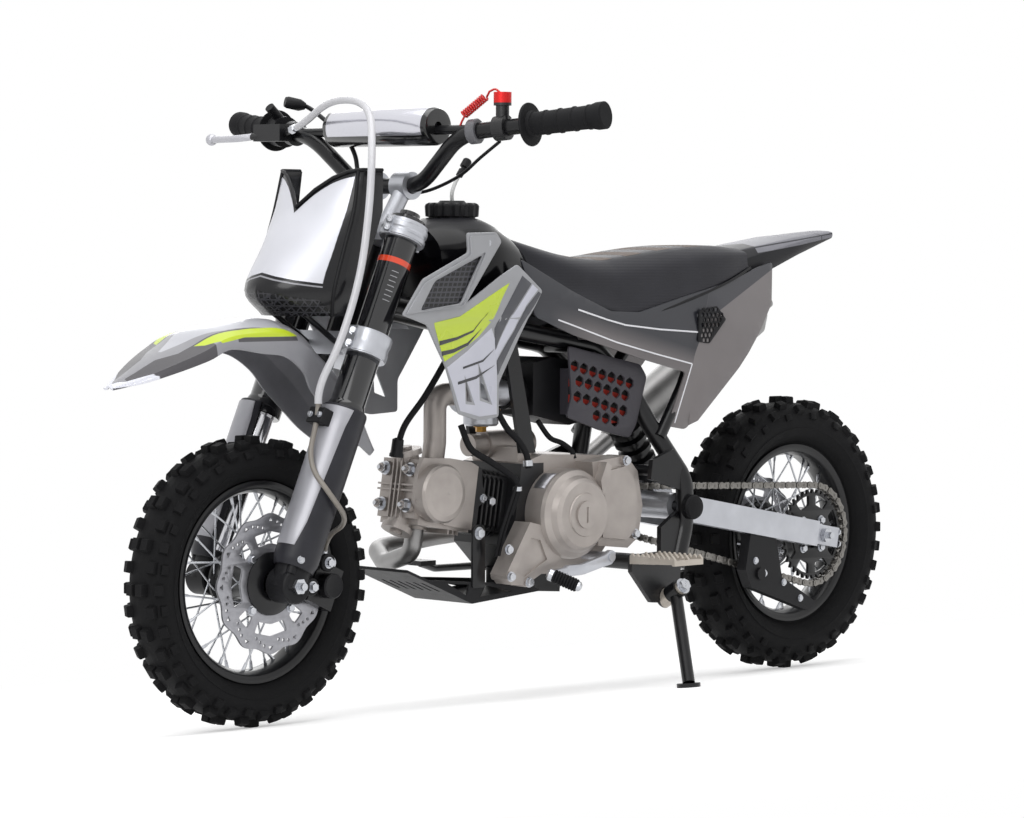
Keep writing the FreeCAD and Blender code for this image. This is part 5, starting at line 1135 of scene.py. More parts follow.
def fender_plastic(at):
    """Light grey with a dark blade, a lime flash and a silver spear, the same on both sides; painted shadow
    under the lime, painted highlight on the spear's front.
    """
    x, y = at.part("X"), at.aside()

    def wedge(*edges):
        """1 where x and y are on the inner side of every edge a x + b y > c."""
        return reduce(Socket.__mul__, [(x * a + y * b).beyond(c, 0.6) for a, b, c in edges])

    z = at.part("Z")
    on_crown = z.beyond(523, 0.6).most((z + x * 0.17).beyond(625, 0.6))
    lime = wedge((1, 0, 490), (-0.725, -1, -530)) * wedge((0, 1, 50)).most(wedge((0.177, 1, 156))) * on_crown
    dark = wedge((-1, 0, -757), (1, 0, 650), (0.725, 1, 530), (0.13, 1, 106.4), (-0.894, -1, -690))
    dark = dark.most(wedge((1, 0, 560), (-1, 0, -690), (0.15, 1, 135), (0, -1, -52)))
    # A thin dark stripe just under the lime's edge, at the shoulder: painted shadow.
    dark = dark.most(wedge((1, 0, 500), (-1, 0, -612), (0, 1, 50)) * z.between(517, 523, 0.6))
    tip = wedge((0.894, 1, 690), (1, 0, 706))
    spear = wedge((-1, 0, -692), (1, 0, 524), (-0.15, -1, -133), (-0.5, -1, -349))
    base = at.noise(0.02, 2.0).tint((132, 132, 137), (150, 150, 155))
    # The spear is a silver print; its lighter front is a painted highlight on the crown.
    spear_silver_and_highlight = x.beyond(540, 120).tint((146, 147, 153), (186, 187, 194))
    blade = spear.tint(dark.tint(base, (70, 68, 72)), spear_silver_and_highlight)
    return {
        "Base Color": tip.tint(lime.tint(blade, (192, 212, 40)), (222, 223, 232)),
        "Roughness": at.noise(0.3) * 0.1 + 0.3,
        "Normal": at.noise(1.4, 2.0).relief(0.02),
        "Coat Weight": 0.25,
    }


FENDER_UNDER = plain("fender_under", (110, 110, 115), (126, 126, 131), rough=0.4, shine=0.3)
blade = skin(eased_rows([fender_cut(*row) for row in FENDER_ROWS], 6), outward=(0, 0, 1))
FENDER_PLASTIC = material("fender_plastic", fender_plastic)
piece("fender_blade", blade, "steering", [FENDER_PLASTIC, FENDER_UNDER], ["fender_front"],
      smooth=28, thick=3.0, bevel=0.6)
low = LOWER_CLAMP_AT - 17.3
boss = lathe([(0, low - 26), (15, low - 26), (15, low), (0, low)], on_fork(0, -6, 0), fork_up)
piece("fender_boss", boss, "steering", BLACK_PLASTIC, smooth=35)

# Fuel tank: gloss black plastic with a satin top, painted lighter as a painted sheen, a broad ribbed screw
# cap, and a clear breather tube with a black valve standing on the cap.
TANK_ROWS = (
    # x, top, bottom, half width of the top, sides and bottom
    (246, 672, 560, 30, 66, 52), (200, 682, 545, 40, 84, 70), (150, 684, 545, 42, 84, 74),
    (96, 664, 560, 34, 70, 74), (60, 636, 560, 26, 56, 60),
)
TANK_CAP = Vector((163, 0, 680))
CAP_RIBS = 16
# The cap's rings: height over the tank, radius
CAP_RINGS = ((4, 34), (5, 37.5), (19, 38.5), (22, 37), (24, 33), (24, 20), (27, 17), (27, 0.01))


def ring_cut(x, top, bottom, top_half, side_half, bottom_half, corner=0.42):
    """A closed, softly cornered cross cut of a tank or seat."""
    high, low = top - 0.25 * (top - bottom), bottom + 0.3 * (top - bottom)
    half = [(0, top), (top_half, top - 1), (side_half, high), (side_half, low)]
    half += [(bottom_half, bottom), (0, bottom)]
    loop = [(y, z) for y, z in half] + [(-y, z) for y, z in reversed(half[1:-1])]
    reach = corner * min(top_half, top - high)
    return [Vector((x, y, z)) for y, z in rounded(loop, reach * 2.2, 3)]


def tank_plastic(at):
    """Gloss black below; rougher on top, where it is painted a lighter grey as a painted sheen."""
    # The top's rougher finish is real; its lighter colour is a painted sheen.
    satin_and_sheen = at.part("Z").beyond(668, 10)
    return {
        "Base Color": satin_and_sheen.tint((8, 8, 11), (26, 26, 30)),
        "Roughness": satin_and_sheen * 0.34 + 0.14,
        "Coat Weight": 0.04,
        "Specular IOR Level": 0.18,
        "Normal": at.noise(1.2, 2.0).relief(0.03),
    }


tank = skin(eased_rows([ring_cut(*row) for row in TANK_ROWS], 6), ring=True, caps=True)
TANK_PLASTIC = material("tank_plastic", tank_plastic)
piece("tank_shell", tank, "chassis", TANK_PLASTIC, ["fuel_tank"], smooth=50)
rows = []
for tall, reach in CAP_RINGS:
    ring = []
    for i in range(CAP_RIBS * 6):
        a = 2 * math.pi * i / (CAP_RIBS * 6)
        notch = 3.6 * max(0.0, math.cos(CAP_RIBS * a)) ** 0.6 if 4.5 < tall < 23 else 0
        ring.append(TANK_CAP + Vector(((reach - notch) * math.cos(a), (reach - notch) * math.sin(a), tall)))
    rows.append(ring)
neck = lathe([(0, -10), (30, -10), (33, 4), (0, 4)], TANK_CAP, (0, 0, 1))
ribbed = joined(skin(rows, ring=True, caps=True), neck)
piece("ribbed_cap", ribbed, "chassis", BLACK_PLASTIC, ["fuel_cap"], smooth=35)
BREATHER = [TANK_CAP + Vector(p) for p in ((0, 0, 27), (0, 0, 38), (-7, -1, 52), (-16, 0, 65))]
valve_way = (BREATHER[-1] - BREATHER[-2]).normalized()
VALVE = [(0, -4), (5, -4), (5, 6), (3.4, 7), (3.4, 10), (6.5, 11), (6.5, 22), (5, 24), (0, 24)]
valve = lathe(VALVE, BREATHER[-1], valve_way, 20)
piece("breather_valve", valve, "chassis", BLACK_PLASTIC, smooth=35)
CLEAR_TUBE = plain("clear_tube", (196, 197, 196), (216, 217, 216), rough=0.3, coat=0.3)
piece("breather_tube", tube(eased(BREATHER, 6), 2.8, 14), "chassis", CLEAR_TUBE, smooth=60)

# Seat: vinyl over foam, waisted where the rider's knees go, with five grip strips across the top,
# fine grooves along the sides and a dark welt round its foot.
SEAT_ROWS = (
    (108, 662, 640, 30, 40, 40), (60, 648, 600, 44, 62, 66), (-10, 633, 566, 50, 76, 84),
    (-80, 627, 544, 52, 80, 90), (-120, 630, 540, 54, 82, 92), (-234, 643, 566, 56, 84, 90),
    (-320, 647, 590, 52, 80, 84), (-385, 643, 612, 44, 66, 70),
)
STRIPS = (-28, -92, -156, -220, -284)
STRIP_HALF = 17.0


def seat_vinyl(at):
    """Charcoal vinyl, ribbed on its sides, with paler rough strips across its top."""
    x, y, z = at.part("X"), at.aside(), at.part("Z")
    on_top = 1 - y.beyond(50, 1.0)
    strips = [x.between(middle - STRIP_HALF, middle + STRIP_HALF, 1.2) for middle in STRIPS]
    strip = reduce(Socket.most, strips) * on_top
    groove = z.repeating(4.2).between(0.1, 0.9, 0.3) * y.beyond(58, 4.0)
    fine = x.repeating(3.0).between(0.2, 0.8, 0.3) * strip
    vinyl = at.noise(0.02, 2.0).tint((30, 30, 35), (43, 43, 49))
    return {
        "Base Color": strip.tint(vinyl, (104, 94, 88)),
        "Roughness": strip * 0.2 + at.noise(0.8) * 0.1 + 0.46,
        "Normal": (groove * 0.14 + fine * 0.3 + strip * 1.6 + at.noise(1.1, 3.0) * 0.15).relief(1.0),
        "Specular IOR Level": 0.3,
    }


SEAT_VINYL = material("seat_vinyl", seat_vinyl)
cover = skin(eased_rows([ring_cut(*row, corner=0.6) for row in SEAT_ROWS], 8), ring=True, caps=True)
seat = piece("seat_cover", cover, "chassis", SEAT_VINYL, ["seat"], smooth=60)
WELT = [
    (112, 64, 640), (62, 72, 604), (-10, 85, 568), (-80, 91, 546), (-124, 93, 542), (-234, 91, 568),
    (-320, 85, 592), (-386, 71, 613),
]
welt = both_sides(tube(eased(WELT, 6), 2.2, 8))
piece("seat_welt", welt, "chassis", BLACK_PLASTIC, smooth=60)

# Tank shrouds: light grey mouldings with a framed mesh window and two slots in the lower blade. Their
# front half flares out to clear the fork, and they carry plain panels of lime, silver and charcoal.
SHROUD_Y = 103.0
SHROUD_FOLD_X = 165.0
SHROUD_FLARE = 0.13
SHROUD_OUTLINE = [
    (380, 551), (337, 599), (240, 635), (243, 662), (178, 663), (166, 650), (243, 566), (135, 619),
    (85, 582), (171, 454), (171, 408), (217, 405), (260, 415), (287, 482), (325, 537),
]
WINDOW = [(342, 557), (312, 596), (208, 632), (255, 566)]
SLOTS = ([(244, 462), (242, 432), (229, 430)], [(214, 479), (211, 436), (191, 429)])


def shroud_face(x, z):
    """The shroud's outer side, flared ahead of its fold, with its blade dished under the window."""
    face = SHROUD_Y + SHROUD_FLARE * max(0.0, x - SHROUD_FOLD_X)
    below = max(0.0, 545 - 0.05 * (x - 300) - z)
    return face - 2.6 * min(1.0, below / 10) + 2.6 * min(1.0, max(0.0, below - 40) / 50)


def on_shroud(loops, stand_out, thick=0.5):
    """A printed panel lying on the shroud."""
    return plate(loops, thick, 0.12, lambda x, z: shroud_face(x, z) + stand_out, 12)


GREY_PLASTIC = plain("grey_plastic", (146, 147, 151), (166, 167, 171), 0.02, 0.32, 0.1, grain=0.02, coat=0.25)
LIME = plain("lime_print", (190, 212, 34), (204, 224, 48), 0.02, 0.24, 0.08, coat=0.5)
PALE = plain("silver_print", (186, 187, 200), (208, 209, 220), 0.015, 0.24, 0.1, coat=0.5)
CHARCOAL = plain("charcoal_print", (56, 57, 64), (72, 73, 80), 0.02, 0.28, 0.1, coat=0.4)
INK = plain("dark_print", (28, 28, 34), (36, 36, 42), 0.02, 0.3, 0.1, coat=0.4)
FRAME_OUTLINE = [(374, 552), (335, 594), (236, 631), (239, 658), (181, 659), (171, 650), (251, 562)]
FRAME_WINDOW = [(346, 556), (313, 599), (203, 636), (252, 562)]
shell_loops = [rounded(SHROUD_OUTLINE, 5), rounded(WINDOW, 6), *[rounded(slot, 1.5) for slot in SLOTS]]
shell = plate(shell_loops, 3.4, 0.9, shroud_face, 12)
frame_loops = [rounded(FRAME_OUTLINE, 5), rounded(FRAME_WINDOW, 6)]
frame_rim = plate(frame_loops, 3.0, 1.0, lambda x, z: shroud_face(x, z) + 2.4, 12)
bosses = tube([(198, 84.5, 641), (198, 101, 641)], 7), tube([(182, 63.5, 533), (182, 100, 533)], 7)
shells = both_sides(joined(shell, frame_rim, *bosses))
piece("shroud_shells", shells, "chassis", GREY_PLASTIC, ["shrouds"], smooth=32)
PANELS = (
    # Name, finish, how far it stands out, outline and holes
    ("shroud_lime", LIME, 0.5, [
        [(312, 540), (258, 548), (151, 593), (166, 571), (184, 542), (214, 520), (240, 507), (289, 487)],
    ]),
    ("shroud_silver", PALE, 0.45, [
        [(284, 479), (240, 500), (186, 531), (176, 512), (176, 412), (214, 410), (256, 419)],
        rounded([(247, 468), (245, 428), (224, 426)], 1), rounded([(217, 486), (214, 432), (186, 425)], 1),
    ]),
    ("shroud_charcoal", CHARCOAL, 0.5, [[(126, 603), (179, 530), (178, 500), (147, 548), (108, 592)]]),
    ("shroud_pale", PALE, 0.55, [
        [(106, 591), (146, 546), (178, 498), (178, 484), (140, 528), (118, 562), (95, 584)],
    ]),
    ("shroud_wedge", CHARCOAL, 0.6, [
        [(94, 581), (117, 560), (139, 526), (176, 484), (174, 466), (132, 524), (89, 578)],
    ]),
)
SWOOSHES = (
    [(299, 509), (262, 516), (227, 526), (196, 553), (226, 529), (262, 520), (300, 515)],
    [(294, 495), (268, 499), (238, 508), (208, 531), (239, 512), (269, 504), (295, 501)],
    [(250, 476), (206, 485), (180, 502), (206, 488), (250, 479)],
    [(262, 455), (222, 462), (180, 480), (222, 466), (262, 459)],
)
for name, finish, stand_out, loops in PANELS:
    piece(name, both_sides(on_shroud(loops, stand_out)), "chassis", finish, smooth=30)
swooshes = both_sides(joined(*[on_shroud([loop], 0.9) for loop in SWOOSHES]))
piece("shroud_lines", swooshes, "chassis", INK, smooth=30)


def mesh_insert(at):
    """Black mesh of diamond cells, its holes painted near black as the shade behind it."""
    x, z = at.part("X") * 0.9 + at.part("Z") * 0.35, at.part("Z")
    holes = x.repeating(9.0).between(0.16, 0.84, 0.1) * z.repeating(7.0).between(0.2, 0.8, 0.1)
    return {
        "Base Color": holes.tint((66, 66, 72), (5, 5, 6)),
        "Roughness": 0.45,
        "Normal": (holes * -1.0).relief(3.0),
    }


INSERT = [(350, 552), (316, 603), (198, 640), (250, 558)]
insert = both_sides(plate([rounded(INSERT, 4)], 1.6, 0.3, lambda x, z: shroud_face(x, z) - 4, 12))
piece("shroud_mesh", insert, "chassis", material("mesh_insert", mesh_insert), smooth=30)
bolts("shroud_bolts", "chassis", both_sides(bolt((198, 105.5, 648), (0, 1, 0), 5.5, 4, 20)))

# Side panels: charcoal above and warm gunmetal below, that lightening partly painted light on the bulge
# between the lines, creased along two thin white lines, with a bevelled rear half and a small honeycomb vent.
PANEL_Y = 99.0
PANEL_OUTLINE = [
    (120, 626), (94, 545), (18, 519), (-119, 484), (-217, 462), (-190, 384), (-228, 378), (-332, 466),
    (-422, 560), (-440, 622), (-400, 614), (-330, 594), (-220, 572), (-120, 550), (-60, 552), (20, 582),
]
LINE_HIGH = [(100, 594), (60, 576), (10, 555), (-50, 540), (-88, 532), (-160, 525), (-242, 520)]
LINE_LOW = [(50, 541), (10, 530), (-68, 508), (-150, 490), (-229, 474), (-204, 388)]


def height_on(line, x):
    """The height of a line of (x, z) points at some x, level beyond its ends."""
    for (x_a, z_a), (x_b, z_b) in zip(line, line[1:]):
        if x_b <= x <= x_a:
            return z_a + (z_b - z_a) * (x_a - x) / (x_a - x_b)
    return line[0][1] if x > line[0][0] else line[-1][1]


def panel_face(x, z):
    """Leans in above the high line, bulges between the lines and bevels at the rear."""
    high, low = height_on(LINE_HIGH, x), height_on(LINE_LOW[:5], x)
    face = PANEL_Y - 0.16 * max(0.0, z - high)
    if x > -236:
        middle = min(max((high - z) / max(high - low, 1), 0.0), 1.0)
        face -= 2.5 * math.sin(math.pi * middle)
        return face - 0.12 * max(0.0, low - z)
    across_bevel = (z - 378) * 0.62 - (x + 300) * 0.78 - 110
    return face - 0.1 * max(0.0, across_bevel)


def panel_plastic(at):
    """Charcoal that turns to gunmetal towards the low line, partly print and partly painted light on the
    bulge, and over the rear half.
    """
    x, z = at.part("X"), at.part("Z")
    over_low = z - x * 0.24
    # Darker by the high line and lighter towards the low line: printed gunmetal with painted shade and
    # painted light on the bulge.
    gunmetal_and_painted_light = (1 - over_low.beyond(541, 24)) * (1 - x.beyond(20, 90))
    rear = (1 - (x + z * 0.42).beyond(-32, 1.0))
    wedge = (z + x * 0.42).beyond(428, 1.0) * rear
    grey = gunmetal_and_painted_light.tint((46, 47, 53), (104, 99, 100))
    rear_grey = at.noise(0.01, 2.0).tint((104, 99, 100), (126, 121, 121))
    return {
        "Base Color": wedge.tint(rear.tint(grey, rear_grey), (56, 56, 62)),
        "Metallic": 0.25,
        "Roughness": at.noise(0.4) * 0.08 + 0.3,
        "Coat Weight": 0.3,
        "Normal": at.noise(1.4, 2.0).relief(0.02),
    }


def ribbon(points, width):
    """A thin closed outline along a run of (x, z) points."""
    run = [Vector(p) for p in points]
    sides = []
    for before, after in zip(run[:1] + run, run[1:] + run[-1:]):
        way = (after - before).normalized()
        sides.append(Vector((-way.y, way.x)) * width / 2)
    there = [spot + side for spot, side in zip(run, sides)]
    return there + [spot - side for spot, side in zip(run[::-1], sides[::-1])]


panel_shell = plate([rounded(PANEL_OUTLINE, 6)], 3.2, 0.8, panel_face, 12)
bosses = [tube([(-282, 74, 516), (-282, 97, 516)], 7), tube([(-30, 63.5, 517), (-30, 97, 517)], 6)]
shells = both_sides(joined(panel_shell, *bosses))
PANEL_PLASTIC = material("panel_plastic", panel_plastic)
piece("panel_shells", shells, "chassis", PANEL_PLASTIC, ["side_panels"], smooth=32)
WHITE = plain("white_print", (226, 226, 232), (238, 238, 242), 0.02, 0.3, 0.1, coat=0.3)
marks = [plate([ribbon(line, width)], 0.5, 0.1, lambda x, z: panel_face(x, z) + 0.5, 12)
         for line, width in ((LINE_HIGH[2:], 2.4), (LINE_LOW[:5], 2.2), (LINE_LOW[4:], 2.2))]
piece("panel_lines", both_sides(joined(*marks)), "chassis", WHITE, smooth=30)


def hex_cells(low, high, pitch, inside):
    """Hexagonal holes on a staggered grid between two corners, kept where inside(x, z) says."""
    reach = pitch * 0.42
    corners = [(reach * math.sin(k * math.pi / 3), reach * math.cos(k * math.pi / 3)) for k in range(6)]
    cells = []
    row, z = 0, low[1]
    while z < high[1]:
        x = low[0] + (pitch / 2 if row % 2 else 0)
        while x < high[0]:
            if inside(x, z):
                cells.append([(x + ahead, z + up) for ahead, up in corners])
            x += pitch
        row, z = row + 1, z + pitch * 0.87
    return cells


def in_vent(x, z):
    """Whether a cell centred there clears the vent's edges."""
    ahead = x + 301
    return z < 553 - 0.05 * (x + 242) and 545 - 0.95 * ahead < z < 537 + 0.97 * ahead and x < -247


VENT = [(-242, 551), (-281, 558), (-301, 538), (-265, 503), (-240, 506)]
cells = hex_cells((-296, 508), (-244, 556), 8.5, in_vent)
vent = plate([rounded(VENT, 3)] + cells, 2.4, 0.4, lambda x, z: PANEL_Y + 1.4)
piece("vent_grilles", both_sides(vent), "chassis", BLACK_PLASTIC, smooth=30)

# Tail: the short rear fender, silver grey on top with dark lines, over a black underside that
# stands a little proud along its edges.
TAIL_ROWS = (
    (-390.6, 640, 590, 40, 60, 60), (-440, 648, 606, 44, 58, 56), (-520, 660, 632, 40, 52, 48),
    (-622, 670, 658, 22, 30, 28),
)


def tail_cut(x, top, bottom, top_half, side_half, bottom_half):
    """A crisp eight-sided cut with a flat top."""
    high, low = top - 0.25 * (top - bottom), bottom + 0.3 * (top - bottom)
    half = [(0, top), (top_half, top - 1), (side_half, high), (side_half, low)]
    half += [(bottom_half, bottom), (0, bottom + 1)]
    loop = half + [(-y, z) for y, z in reversed(half[1:-1])]
    return [Vector((x, y, z)) for y, z in rounded(loop, 3, 2)]


def tail_plastic(at):
    """Silver grey on top of its rear half, black below and ahead, with two dark lines."""
    x, y, z = at.part("X"), at.aside(), at.part("Z")
    fall = z + x * 0.12
    upper = fall.beyond(585, 1.0)
    rear = 1 - (x - y * 0.5).beyond(-448, 1.0)
    line = (fall - y * 0.1).between(587, 589, 0.5) + (x + y * 0.8).between(-560, -557, 0.6)
    silver = at.noise(0.02, 2.0).tint((112, 112, 119), (136, 136, 143))
    return {
        "Base Color": (line * upper).tint((upper * rear).tint((24, 24, 28), silver), (46, 46, 52)),
        "Roughness": at.noise(0.4) * 0.08 + 0.4,
        "Specular IOR Level": 0.25,
    }


cuts = [tail_cut(*row) for row in TAIL_ROWS]
rows = [[a.lerp(b, k / 4) for a, b in zip(cut, following)]
        for cut, following in zip(cuts, cuts[1:]) for k in range(4)]
tail = skin(rows + cuts[-1:], ring=True, caps=True)
TAIL_PLASTIC = material("tail_plastic", tail_plastic)
piece("tail_shell", tail, "chassis", TAIL_PLASTIC, ["tail"], smooth=30)

# Airbox cover: a dark grey plate with four rows of six-sided holes, red filter foam behind them.
COVER = [(-1, 503), (-150, 474), (-164, 456), (-142, 386), (-128, 368), (-66, 381), (2, 402), (-8, 430)]
# Rows of holes: how many, and where the first one's middle is
COVER_ROWS = ((7, -14, 474), (6, -24, 452), (6, -20, 430), (3, -60, 402))
HOLE_PITCH, HOLE_FALL = 19.0, 4.5
HOLE = ((-8, -3.5), (-8, 4), (0, 9), (8, 4), (8, -3.5), (0, -8.5))


def block(low, high):
    """A box between two corners."""
    built = bmesh.new()
    bmesh.ops.create_cube(built, size=1)
    for vert in built.verts:
        vert.co = [low[i] + (high[i] - low[i]) * (vert.co[i] + 0.5) for i in range(3)]
    return from_bmesh(built)


centres = [(x - HOLE_PITCH * i, z - HOLE_FALL * i) for count, x, z in COVER_ROWS for i in range(count)]
cells = [rounded([(x + ahead, z + up) for ahead, up in HOLE], 1, 1) for x, z in centres]
cover = plate([rounded(COVER, 6)] + cells, 4, 0.8, lambda x, z: 70)
lip = block((-100, 34.5, 404), (-20, 60, 470))
COVER_GREY = plain("cover_grey", (56, 54, 60), (72, 70, 76), 0.02, 0.36, 0.1, grain=0.05, shine=0.3)
piece("cover_plate", joined(cover, lip), "chassis", COVER_GREY, ["airbox_cover"], smooth=32)


def foam(at):
    """Red foam that shows in the lower half of each hole, with painted shade over it in the upper half, where
    each louvred hole's hood shades it.
    """
    fall = at.part("Z") - at.part("X") * (HOLE_FALL / HOLE_PITCH)
    middles = [z - x * HOLE_FALL / HOLE_PITCH for count, x, z in COVER_ROWS]
    red = reduce(Socket.most, [fall.between(middle - 10, middle + 1, 0.8) for middle in middles])
    # The near-black above the red in each hole is painted shade.
    colour = red.tint((12, 11, 13), at.noise(0.6, 3.0).tint((128, 24, 14), (176, 44, 26)))
    return {"Base Color": colour, "Roughness": 0.9, "Normal": at.noise(1.0, 3.0).relief(1.2)}


backing = plate([[(-12, 480), (-145, 452), (-136, 392), (-66, 388), (-10, 404)]], 3, 0.3, lambda x, z: 63)
piece("filter_foam", backing, "chassis", material("filter_foam", foam), smooth=30)

# Engine: the head's zinc nuts and screws, the drum's screws and bare plate, the black hoses and the
# leads that run down beside the barrel, and the carburettor's drain and caps.
CRANK = Vector((12, 0, 266))
BARREL = Matrix.Translation(CRANK) @ Matrix.Rotation(math.radians(-BARREL_TILT_DEG), 4, "Y")
along_barrel = (BARREL.to_3x3() @ Vector((1, 0, 0))).normalized()
heads = []
for y in (-25, 25):
    for z in (-21, 29):
        tower = BARREL @ Vector((260, y, z))
        heads += [bolt(tower, along_barrel, 7.5, 9), tube([tower, tower + along_barrel * 14], 3.2, 10)]
for at, radius, tall in (((133, 44, 4.5), 4.6, 5), ((116, 36, 2), 6.5, 12)):
    heads.append(bolt(BARREL @ Vector(at), (0, 1, 0), radius, tall))
DRUM_SCREWS = ((-92, 98, 338), (-112, 98, 232), (136, 94, 184), (100, 94, 174), (139, 92, 222), (36, 62, 200))
heads += [bolt(at, (0, 1, 0), 5.6, 5.5, 20) for at in DRUM_SCREWS]
bolts("engine_screws", "chassis", *heads, bolt((165, 60, 244), (0, 1, 0), 7, 6))
BRACKET = [(177, 250), (172, 256), (157, 256), (153, 248), (152, 168), (177, 168)]
bracket = plate([rounded(BRACKET, 3)], 4, 0.6, lambda x, z: 60)
piece("skid_bracket", bracket, "chassis", BLACK, smooth=35)
arc = [ring_spot(64.5, math.radians(36 + 4 * i)) for i in range(8)]
bare = skin([[CRANK + Vector((x, y, z)) for x, z in arc] for y in (66, 88)], outward=(0.5, 0, 1))
piece("bare_plate", bare, "chassis", STEEL, smooth=50, thick=0.6)
HOSES = (
    # Its points and its radius
    ([(150, 14, 545), (184, 30, 512), (222, 46, 480), (260, 48, 436), (287, 38, 398), (296, 32, 366)], 4.4),
    ([(198, 56, 396), (186, 64, 363), (154, 68, 345), (125, 74, 328), (114, 80, 317), (112, 82, 300),
      (124, 80, 270)], 4.6),
    ([(136, 60, 420), (120, 68, 390), (102, 74, 371), (93, 80, 353), (92, 84, 333)], 4.6),
    ([(30, 40, 396), (8, 42, 372), (-10, 48, 364), (-24, 54, 353), (-26, 58, 341)], 3.8),
    ([(110, 84, 310), (122, 84, 284), (136, 80, 244), (138, 72, 212)], 2.4),
    ([(116, 84, 310), (128, 84, 284), (142, 80, 244), (144, 72, 212)], 2.4),
)
hoses = joined(*[tube(eased(points, 8), radius, 12) for points, radius in HOSES])
piece("engine_hoses", hoses, "chassis", RUBBER, smooth=60)
clips = [lathe([(4.8, -3), (6.4, -3), (6.4, 3), (4.8, 3)], (112, 82, 305), (0, 0, 1), 20, True),
         lathe([(4.8, -4), (7, -4), (7, 4), (4.8, 4)], (92.4, 83, 340), (0, 0.1, -1), 20, True)]
piece("hose_clips", joined(*clips), "chassis", ZINC, smooth=40)
LEAD_CAP = [(4.5, -14), (8, -12), (8.5, 6), (10, 8), (10, 12), (0, 12)]
lead_cap = lathe(LEAD_CAP, (296, 32, 366), (0.05, -0.1, -1), 20)
piece("plug_cap", lead_cap, "chassis", BLACK_PLASTIC, smooth=40)
BRASS = plain("brass", (150, 112, 52), (196, 150, 78), 0.3, 0.28, 0.12, metallic=1.0)
bowl = [bolt((x, 26, 412), (0, 1, 0), 3.4, 3, 16) for x in (110, 96)]
drain = bolt((104, 0, 389), (0, 0, -1), 8, 8)
piece("carburettor_screws", joined(drain, *bowl), "chassis", BRASS, smooth=30)
SLIDE_CAP = [(0, 0), (23, 0), (24, 2), (24, 12), (20, 15), (8, 16), (6, 24), (0, 24)]
slide_cap = lathe(SLIDE_CAP, (104, 0, 494), (0, 0, 1), 40)
piece("carburettor_cap", slide_cap, "chassis", BLACK_PLASTIC, smooth=35)

# Gear lever: a bare aluminium arm with a webbed flat, and a black ribbed toe rubber with bright ends.
LEVER = [
    (-55, 209), (-44, 214), (-34, 207), (14, 196), (44, 196), (52, 188), (44, 180), (12, 181), (-30, 190),
    (-48, 193),
]
arm = plate([rounded(LEVER, 5)], 9, 1.4, lambda x, z: 116)
shaft = tube([(-44, 60.3, 203), (-44, 118, 203)], 6.5)
toe_in, toe_out = Vector((76, 108, 186)), Vector((50, 148, 167))
toe_way = (toe_out - toe_in).normalized()
link = tube([(46, 112, 188), toe_in + toe_way * 4], 6)
lever = joined(arm, shaft, link)
piece("gear_lever", lever, "chassis", SILVER, ["shift_lever"], smooth=35)
ribbed = [(0, 8), (8.5, 8)]
for i in range(8):
    ribbed += [(9.6, 9 + 4.2 * i), (9.6, 11 + 4.2 * i), (8.2, 11.6 + 4.2 * i)]
ribbed += [(9.4, 43), (8, 45), (0, 45)]
piece("toe_rubber", lathe(ribbed, toe_in, toe_way, 24), "chassis", RUBBER, smooth=30)
TOE_ENDS = [(0, -2), (6, -1), (9, 2), (9, 8), (0, 8)], [(0, 45), (7, 45), (7, 48), (4, 51), (0, 51)]
ends = joined(*[lathe(profile, toe_in, toe_way, 24) for profile in TOE_ENDS])
piece("toe_ends", ends, "chassis", ZINC, smooth=35)

# Small fixings: the stand's pivot bolt, rubber caps on the swingarm's pivot, the chain guide's screws
# and the chain adjusters at the swingarm's ends.
STAND_PIVOT, STAND_AXIS = Vector((-148, 144, 150)), Vector((0.036, 0.872, 0.488)).normalized()
bolts("stand_bolt", "chassis", bolt(STAND_PIVOT + STAND_AXIS * 17.3, STAND_AXIS, 9, 8))
SWINGARM_PIVOT = Vector((-200, 0, 268))
PIVOT_CAP = [(0, 0), (17.5, 0), (18, 2), (16, 6), (8, 8.5), (0, 9)]
caps = [lathe(PIVOT_CAP, SWINGARM_PIVOT + Vector((0, side * 129, 0)), (0, side, 0), 40) for side in (1, -1)]
piece("pivot_caps", joined(*caps), "chassis", RUBBER, smooth=40)
guide_spots = ((140, -50), (96, -66), (58, -92), (160, -30))
heads = [bolt(REAR_AXLE + Vector((x, 92, z)), (0, 1, 0), 4.2, 3, 20) for x, z in guide_spots]
arm_way = (REAR_AXLE - SWINGARM_PIVOT).normalized()
for y in (85, -85):
    heads += [bolt(REAR_AXLE + arm_way * 34 + Vector((0, y, up)), arm_way, 5, 6) for up in (9, -9)]
bolts("guide_and_adjuster_bolts", "chassis", *heads)

# Front brake hose: it hangs from the master cylinder round the plate's side to a clamp on the left
# guard, in a pale outer tube so far, and runs bare from there to the caliper.
PERCH_Y = 208.0
perch = knee.lerp(bar_end, (PERCH_Y - knee.y) / (bar_end.y - knee.y))
perch = Vector((perch.x, -perch.y, perch.z))
outlet = perch + Vector((30, 34, 4))
outlet_way = (outlet - perch - Vector((26, 14, 0))).normalized()
hose_guard, hose_end = on_fork(225, 42, FORK_HALF_SPAN), on_fork(60, -78, 47)
